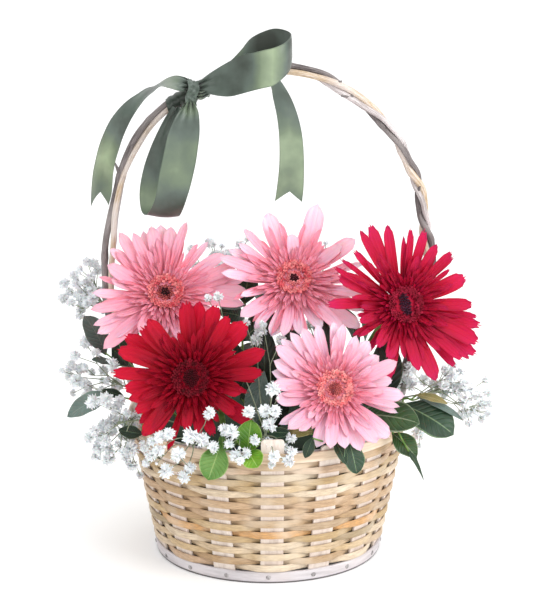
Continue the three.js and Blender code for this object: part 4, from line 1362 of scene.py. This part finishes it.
SPRIGS = [
    # name, foot, bends, leaves as (root, tip, width, towards the upper face)
    ("left_upper", (-66, 4), [(-90, -6, 128), (-106, -10, 150)], [
        ((-104, -10, 148), (-112, -2, 186), 18, (0.4, -1, 0.2)),
    ]),
    ("left_lower", (-68, -16), [(-92, -24, 122), (-112, -28, 127)], []),
    ("right_front", (66, -30), [(84, -52, 122), (92, -64, 124)], []),
    ("right", (72, -8), [(92, -22, 122), (106, -34, 128)], []),
    ("front_right", (44, -62), [(50, -86, 113.6), (53, -99, 114.2)], []),
    ("front_light", (-22, -70), [(-20, -92, 116), (-18, -101, 119)], []),
    ("middle", (-6, -44), [(-4, -60, 122)], []),
    ("tall", (-16, 26), [(-20, 22, 150), (-18, 12, 192)], [
        ((-18, 12, 190), (-14, 3, 224), 18, (0, -1, 0.2)),
        ((-19, 15, 178), (-38, -4, 188), 16, (0, -1, 0.5)),
        ((-20, 21, 158), (6, 12, 186), 18, (0, -1, 0.4)),
    ]),
    ("back_left", (-40, 50), [(-60, 74, 130), (-70, 84, 142)], [
        ((-60, 74, 130), (-96, 84, 124), 22, BACK),
        ((-58, 72, 127), (-64, 108, 120), 20, BACK),
        ((-70, 84, 142), (-86, 98, 176), 20, BACK),
        ((-66, 80, 138), (-50, 82, 172), 16, BACK),
        ((-43, 54, 111), (-30, 14, 116), 22, UP),
    ]),
    ("back_middle", (4, 60), [(2, 80, 136), (0, 88, 160)], [
        ((2, 79, 134), (-26, 98, 126), 20, BACK),
        ((2, 80, 136), (30, 100, 128), 20, BACK),
        ((0, 88, 158), (-20, 94, 190), 18, BACK),
        ((0, 88, 160), (18, 90, 198), 18, BACK),
        ((4, 63, 111), (9, 22, 118), 24, UP),
    ]),
    ("back_right", (46, 44), [(66, 64, 130), (78, 74, 144)], [
        ((66, 64, 130), (102, 66, 120), 22, BACK),
        ((64, 62, 127.6), (70, 102, 120), 20, BACK),
        ((78, 74, 144), (96, 82, 180), 20, BACK),
        ((72, 70, 138), (54, 76, 176), 16, BACK),
        ((50, 48, 112), (34, 6, 118), 22, UP),
    ]),
]


# Leaves that the photograph shows: root and tip as across and down in its pixels and the depth along Y, the
# width in pixels, the direction of the upper face, the outline, the colour and how much light it gets
SEEN_LEAVES = {
    "left_upper": [
        ((106, 355, -10), (86, 316, -14), 24, (0.5, -1, 0.6), "round", "grey", 0.5),
        ((114, 364, -14), (91, 361, -24), 13, (0, -0.5, 1), "oval", "grey", 0.9),
        ((112, 360, -12), (132, 330, -6), 18, FACING, "oval", "dark", 0.3),
        ((114, 350, -12), (128, 366, -16), 12, FACING, "oval", "dark", 0.3),
    ],
    "left_lower": [
        ((112, 392, -28), (67, 417, -34), 22, (0, -0.9, 1), "oval", "grey", 0.95),
        ((143, 434, -60), (118, 430, -66), 13, FACING, "oval", "dark", 0.5),
        ((124, 396, -30), (102, 390, -34), 9, FACING, "oval", "dark", 0.4),
    ],
    "right_front": [
        ((358, 415, -54), (418, 421, -78), 34, (0.1, -0.9, 0.8), "round", "green", 0.6),
        ((392, 433, -64), (417, 457, -76), 22, (0.3, -0.9, 0.5), "oval", "green", 0.75),
        ((408, 450, -74), (424, 481, -86), 7, (0.5, -0.8, 0.5), "tailed", "dark", 0.9),
    ],
    "right": [
        ((402, 404, -34), (454, 433, -52), 37, (0.3, -0.9, 0.7), "round", "dark", 0.85),
        ((416, 397, -34), (464, 420, -46), 10, (0, -0.4, 1), "oval", "grey", 0.8),
        ((414, 395, -36), (448, 403, -44), 10, (0, -0.6, 1), "oval", "olive", 0.9),
        ((386, 402, -24), (386, 336, -20), 32, FACING, "oval", "dark", 0.1),
    ],
    "front_right": [
        ((334, 438, -98), (346, 465, -111), 11, (0.3, -1, 0.3), "oval", "dark", 0.7),
        ((348, 438, -99), (356, 474, -106), 21, (0.5, -1, 0.3), "round", "dark", 0.9),
        ((313, 437, -108), (305, 458, -110), 11, FACING, "oval", "dark", 0.4),
        ((318, 392, -42), (325, 320, -38), 24, FACING, "oval", "dark", 0.1),
    ],
    "front_light": [
        ((221, 444, -104), (208, 480, -121), 27, (0, -1, 0.3), "round", "light", 0.75),
        ((247, 454, -103), (251, 421, -105), 24, (0, -1, 0.4), "round", "lime", 0.75),
        ((247, 450, -104), (258, 468, -120), 21, (0.1, -1, 0.3), "round", "lime", 1.0),
        ((223, 452, -103), (222, 434, -104), 9, (0.1, -1, 0.3), "oval", "light", 0.55),
    ],
    "tall": [
        ((246, 305, -2), (221, 308, -6), 12, (0, -0.8, 1), "oval", "grey", 0.75),
    ],
    "middle": [
        ((264, 371, -62), (251, 424, -66), 24, (0, -1, 0.1), "oval", "grey", 0.85),
        ((240, 400, -58), (262, 372, -56), 16, (0, -1, 0.2), "oval", "dark", 0.5),
        ((264, 404, -44), (265, 326, -38), 28, FACING, "oval", "dark", 0.1),
        ((250, 404, -44), (226, 336, -40), 28, FACING, "oval", "dark", 0.1),
        ((288, 396, -42), (292, 322, -38), 28, FACING, "oval", "dark", 0.1),
        ((278, 428, -58), (276, 384, -56), 24, FACING, "oval", "dark", 0.1),
        ((268, 433, -94), (291, 433, -98), 10, (0, -1, 0.6), "oval", "dark", 1.0),
        ((286, 433, -94), (313, 431, -99), 11, (0, -1, 0.6), "oval", "olive", 1.0),
    ],
}


def leaf_rule(root, tip, width, up, arch, own):
    """Lays a leaf from its root to its tip, arched, with a waved edge."""
    root, tip = Vector(root), Vector(tip)
    along = tip - root
    side = along.cross(Vector(up)).normalized()
    face = side.cross(along).normalized()
    wave, phase = own.uniform(0.02, 0.05) * width, own.uniform(0, tau)
    curl = own.uniform(-0.06, 0.1) * along.length

    def rule(point):
        share = point.y
        lift = 4 * arch * along.length * share * (1 - share) - curl * share ** 4
        middle = root + along * share + face * lift
        ripple = wave * abs(point.x) * sin(share * 15 + phase + point.x * 2)
        return middle + side * point.x * width / 2 + face * (point.z * width / 2 + ripple)

    return rule


LEAF_LOOKS = {
    "dark": DARK_LEAF, "stem": FLOWER_STEM, "light": LIGHT_LEAF, "olive": OLIVE_LEAF, "green": GREEN_LEAF,
    "grey": GREY_LEAF, "lime": LIME_LEAF}


def make_sprig(name, foot, bends, leaves):
    """A twig out of the foam with its leaves. Those that the photograph shows have stalks to the twig."""
    own, pile = Random(name), Pile()
    x, y = foot
    line = Path([(x, y, IN_HOLE), (x, y, 80), (x, y, FOAM_TOP + 3), *bends], 8)
    pile.take(tube("twig", line.points(20), lambda share: 1.3 * (1 - 0.45 * share), 8), 0.5, look=1)
    for root, tip, width, up in leaves:
        pile.add(LEAVES["oval"], leaf_rule(root, tip, width, up, LEAF_ARCH, own), own.uniform(0.55, 1))
    twig_line = line.points(40)
    for root, tip, width, up, outline, colour, lit in SEEN_LEAVES.get(name, []):
        root, tip = seen_at(*root), seen_at(*tip)
        rule = leaf_rule(root, tip, width * PIXEL, up, SEEN_ARCH, own)
        # The leaf's given light is painted into its colour as light and shade.
        pile.add(LEAVES[outline], rule, lit, look=list(LEAF_LOOKS).index(colour))
        near = min(twig_line, key=lambda place: (place - root).length)
        away = near.lerp(root, 0.5) - UP * 2
        stalk = tube("stalk", Path([near, away, root.lerp(tip, 0.06)], 6).points(8), lambda share: 0.7, 6)
        pile.take(stalk, 0.4, look=1)
    finish(pile.object(), f"sprig_{name}", [f"leaves_{name}"], LEAF_LOOKS.values(), 60)


for sprig in SPRIGS:
    make_sprig(*sprig)


# Baby's breath

SPRAYS = [
    # name, foot, forks, middle of the cloud, its half size, florets behind those of the photograph
    ("left_upper", (-62, 20), [(-104, 16, 160), (-132, 13, 196)], (-136, 14, 200), (16, 12, 22), 8),
    ("left_middle", (-70, -2), [(-98, -14, 126), (-124, -20, 140)], (-134, -14, 142), (15, 14, 22), 6),
    ("left_lower", (-62, -38), [(-92, -58, 119), (-108, -66, 119)], (-112, -58, 110), (20, 14, 22), 8),
    ("front", (-44, -62), [(-54, -88, 114.5), (-54, -107, 113.5)], (-52, -112, 108), (30, 8, 14), 0),
    ("front_middle", (4, -72), [(0, -92, 116), (-2, -102, 122)], (-6, -106, 122), (26, 8, 18), 0),
    ("right", (74, 10), [(104, -12, 122), (132, -14, 128)], (138, -2, 128), (18, 14, 20), 8),
    ("back_left", (-20, 66), [(-28, 72, 140), (-35, 60, 190)], (-37, 54, 212), (26, 20, 20), 26),
    ("back_right", (26, 62), [(34, 80, 128), (38, 88, 150)], (42, 88, 164), (30, 20, 26), 28),
]

# Where the florets show in the photograph: across, down and half their size, in its pixels
SEEN_FLORETS = {
    "left_upper": [
        (87, 262, 5), (80, 269, 4), (74, 275, 5), (64, 283, 6), (77, 284, 6), (63, 299, 6), (70, 292, 5),
        (80, 295, 7), (94, 264, 6), (91, 276, 5), (82, 307, 6), (80, 315, 5), (89, 290, 6), (95, 301, 5),
        (71, 303, 5), (98, 270, 5), (87, 283, 5), (88, 299, 4),
    ],
    "left_middle": [
        (86, 342, 7), (96, 353, 5), (75, 356, 6), (71, 366, 6), (68, 376, 5), (82, 369, 6), (76, 381, 7),
        (85, 384, 6), (73, 393, 4), (112, 365, 7), (117, 385, 7), (62, 371, 4), (92, 372, 4), (103, 381, 4),
    ],
    "left_lower": [
        (93, 402, 7), (105, 401, 8), (120, 401, 6), (112, 421, 7), (104, 426, 7), (95, 431, 6),
        (89, 438, 6), (103, 438, 7), (111, 431, 6), (97, 447, 7), (107, 449, 7), (96, 457, 5),
        (109, 460, 7), (118, 444, 4), (131, 449, 8), (132, 465, 6), (140, 475, 4), (126, 459, 5),
        (144, 446, 6), (133, 425, 6), (126, 413, 5), (116, 411, 5), (122, 436, 4),
    ],
    "front": [
        (151, 455, 6), (158, 451, 6), (166, 471, 7), (190, 468, 6), (184, 477, 6), (178, 455, 7),
        (160, 437, 6), (169, 434, 6), (191, 436, 8), (202, 440, 7), (213, 447, 6), (209, 413, 6),
        (152, 441, 5), (146, 463, 4),
    ],
    "front_middle": [
        (224, 430, 6), (232, 432, 7), (229, 444, 5), (249, 412, 6), (273, 389, 7), (265, 411, 6),
        (275, 411, 6), (270, 425, 7), (255, 440, 5), (267, 443, 6), (236, 455, 6), (246, 453, 5),
        (291, 438, 5), (274, 457, 6), (289, 461, 6), (240, 461, 4), (272, 465, 4), (284, 447, 4),
        (292, 451, 5),
    ],
    "right": [
        (394, 387, 7), (402, 378, 6), (410, 369, 7), (412, 384, 7), (418, 434, 7), (427, 425, 6),
        (419, 446, 3), (452, 376, 7), (461, 372, 5), (444, 385, 6), (456, 391, 8), (444, 394, 5),
        (470, 390, 7), (478, 396, 6), (465, 402, 7), (486, 380, 4), (488, 393, 5), (489, 404, 4),
        (482, 404, 6), (473, 412, 7), (463, 414, 6), (470, 423, 5), (482, 419, 5), (488, 414, 4),
        (434, 384, 6), (424, 380, 6),
    ],
    "back_left": [
        (247, 239, 3), (213, 244, 4), (192, 249, 5), (189, 257, 4), (222, 246, 3),
    ],
    "back_right": [
        (326, 243, 3),
    ],
}
# Florets in the dark between the blooms, all at one depth along Y
GAP_DEPTH = -48
DARK_GAP = {
    "front_middle": [
        (208, 298, 4), (218, 297, 5), (246, 323, 4), (261, 331, 6), (256, 340, 6), (263, 324, 4),
        (281, 340, 5),
    ],
}
FLORET_R = 4.4
FLORET_PETALS = 28


def make_double_floret(seed):
    """A double floret: small notched petals packed all round a little ball."""

    def shape(u, v):
        x = 2 * u - 1
        return Vector((x * (0.4 + 0.6 * v), v - 0.2 * (v == 1) * (u == 0.5), 0.12 * v * x ** 2))

    unit, own, pile = Unit(sheet("petal", 2, 2, shape, 0.1)), Random(seed), Pile()
    for i in range(FLORET_PETALS):
        height = 1 - 1.8 * (i + 0.5) / FLORET_PETALS
        out = polar(sqrt(max(1 - height * height, 0)), i * 2.4, height).normalized()
        across = out.orthogonal()
        across.rotate(Matrix.Rotation(own.uniform(0, tau), 3, out))
        lean = out.cross(across) * own.uniform(-0.4, 0.4)
        size = own.uniform(0.86, 1.08)

        def place(point):
            reach = (out + lean * point.y) * (0.25 + 0.75 * point.y * size) * FLORET_R
            return reach + across * point.x * 1.5 + out.cross(across) * point.z * 2

        pile.add(unit, place, 0.5)
    return Unit(sew(pile.object(), fill=False))


FLORETS = [make_double_floret(seed) for seed in (1, 2, 3)]
FLORET_BUD = turned(6, [(0, -1.4), (0.9, -0.8), (1.2, 0.2), (0.7, 1.3), (0, 1.6)])
THREAD = Unit(tube("thread", [(0, 0, i / 6) for i in range(7)], lambda share: 1.0, 5))


def thread_rule(path, thick, thin):
    """Lays a thread along a line of 7 points, from a thick end to a thin one."""
    stations = turned_least(path)
    last = len(stations) - 1

    def rule(point):
        share = min(max(point.z, 0), 1)
        middle, side, other = stations[round(share * last)]
        return middle + (side * point.x + other * point.y) * (thick + (thin - thick) * share)

    return rule


def trees_of(names):
    """What the sprays keep clear of, to be asked for the nearest distance."""
    found = []
    for obj in bpy.data.objects:
        if obj.type == "MESH" and obj.name.startswith(names):
            points = [vertex.co / MM for vertex in obj.data.vertices]
            found.append(BVHTree.FromPolygons(points, [tuple(face.vertices) for face in obj.data.polygons]))
    return found


STANDING = trees_of(("bloom_", "sprig_", "satin_", "willow_", "cane_", "ply_rim"))


def room_at(place):
    return min(tree.find_nearest(place)[3] for tree in STANDING)


def cleared(place, radius):
    """A place as near as it can be that keeps clear of the rest, moved towards the camera."""
    towards = (camera.location / MM - place).normalized()
    for _ in range(14):
        if room_at(place) > radius:
            break
        place = place + towards * 2.5
    return place


def florets_of(name, own, cloud, spread, behind):
    """Places and sizes: those the photograph shows, then some behind them."""
    places = []
    for across, down, half in SEEN_FLORETS.get(name, []):
        radius, depth = half * PIXEL, cloud[1] + own.uniform(-0.5, 0.5) * spread[1]
        places.append((cleared(seen_at(across, down, depth), radius), radius))
    for across, down, half in DARK_GAP.get(name, []):
        places.append((cleared(seen_at(across, down, GAP_DEPTH), half * PIXEL), half * PIXEL))
    wanted, tries = len(places) + behind, 0
    while len(places) < wanted and tries < 400:
        tries += 1
        draw = scatter(own, 1)
        place = Vector(cloud) + Vector([half * part for half, part in zip(spread, draw)])
        apart = min(((place - other).length for other, _ in places), default=99)
        if draw.length < 1 and room_at(place) > 5 and apart > 7:
            places.append((place, own.uniform(3.2, 4.8)))
    return places


def make_spray(name, foot, forks, cloud, spread, behind):
    """A main stem, twigs that fork to two or three florets, and here and there a bud."""
    own, pile = Random(name), Pile()
    x, y = foot
    first, second = (Vector(fork) for fork in forks)

    def thread(line, thick, thin, tint):
        pile.add(THREAD, thread_rule(line, thick, thin), tint, look=1)

    thread(Path([(x, y, IN_HOLE), (x, y, FOAM_TOP + 3), first, second], 8).points(6), 0.9, 0.6, 0.5)
    left = florets_of(name, own, cloud, spread, behind)
    while left:
        near = left[0][0]
        left.sort(key=lambda item: (item[0] - near).length)
        group = [item for item in left[:3] if (item[0] - near).length < 26]
        left = left[len(group):]
        middle = sum((place for place, _ in group), Vector()) / len(group)
        fork = first.lerp(second, own.uniform(0.35, 1))
        knot = middle.lerp(fork, 0.3) - UP * 2
        bend = middle.lerp(fork, 0.65) + scatter(own, 3)
        thread(Path([fork, bend, knot], 6).points(6), 0.5, 0.36, own.random())
        for place, radius in group:
            thread([knot.lerp(place, i / 6) for i in range(7)], 0.36, 0.3, own.random())
            turn = Matrix.Rotation(own.uniform(0, tau), 3, scatter(own, 1).normalized())
            size = radius / FLORET_R
            pile.add(own.choice(FLORETS), lambda point: place + turn @ point * size, own.random())
            if own.random() < 0.35:
                bud = knot.lerp(place, 0.7) + scatter(own, 1) * 6
                thread([knot.lerp(bud, i / 6) for i in range(7)], 0.3, 0.25, 0.5)
                pile.add(FLORET_BUD, lambda point: bud + turn @ point, own.random())
    looks = [WHITE_FLORET, SPRAY_STEM]
    finish(pile.object(), f"spray_{name}", [f"gypsophila_{name}"], looks, 30)


for spray in SPRAYS:
    make_spray(*spray)


# Floor and light

def make_floor():
    bpy.ops.object.select_all(action="DESELECT")
    bpy.ops.mesh.primitive_plane_add(size=40)
    floor = bpy.context.object
    floor.name = "floor"
    look = Look("floor_white", Roughness=0.9, Specular_IOR_Level=0.2)
    look.colour((252, 252, 252))
    floor.data.materials.append(look.material)


LIGHTS = [
    # name, place, target, size and power, in metres and watts
    ("overhead", (0, 0, 6), (0, 0.01, 0), 20, 1220),
    ("key", (2.1, -1.4, 1.3), (0, 0, 0.2), 1.8, 42),
    ("fill", (-0.2, -2.8, 1.1), (0, 0, 0.2), 1.6, 12),
]


def area_light(name, place, target, size, power):
    light = bpy.data.lights.new(name, "AREA")
    light.size = size
    light.energy = power
    obj = bpy.data.objects.new(name, light)
    obj.location = place
    obj.rotation_euler = (Vector(target) - Vector(place)).to_track_quat("-Z", "Y").to_euler()
    bpy.context.scene.collection.objects.link(obj)


make_floor()
for light in LIGHTS:
    area_light(*light)
world = bpy.data.worlds.new("studio")
world.use_nodes = True
world.node_tree.nodes["Background"].inputs["Color"].default_value = (1, 1, 1, 1)
world.node_tree.nodes["Background"].inputs["Strength"].default_value = 0.5
bpy.context.scene.world = world
bpy.context.scene.view_settings.view_transform = "Standard"
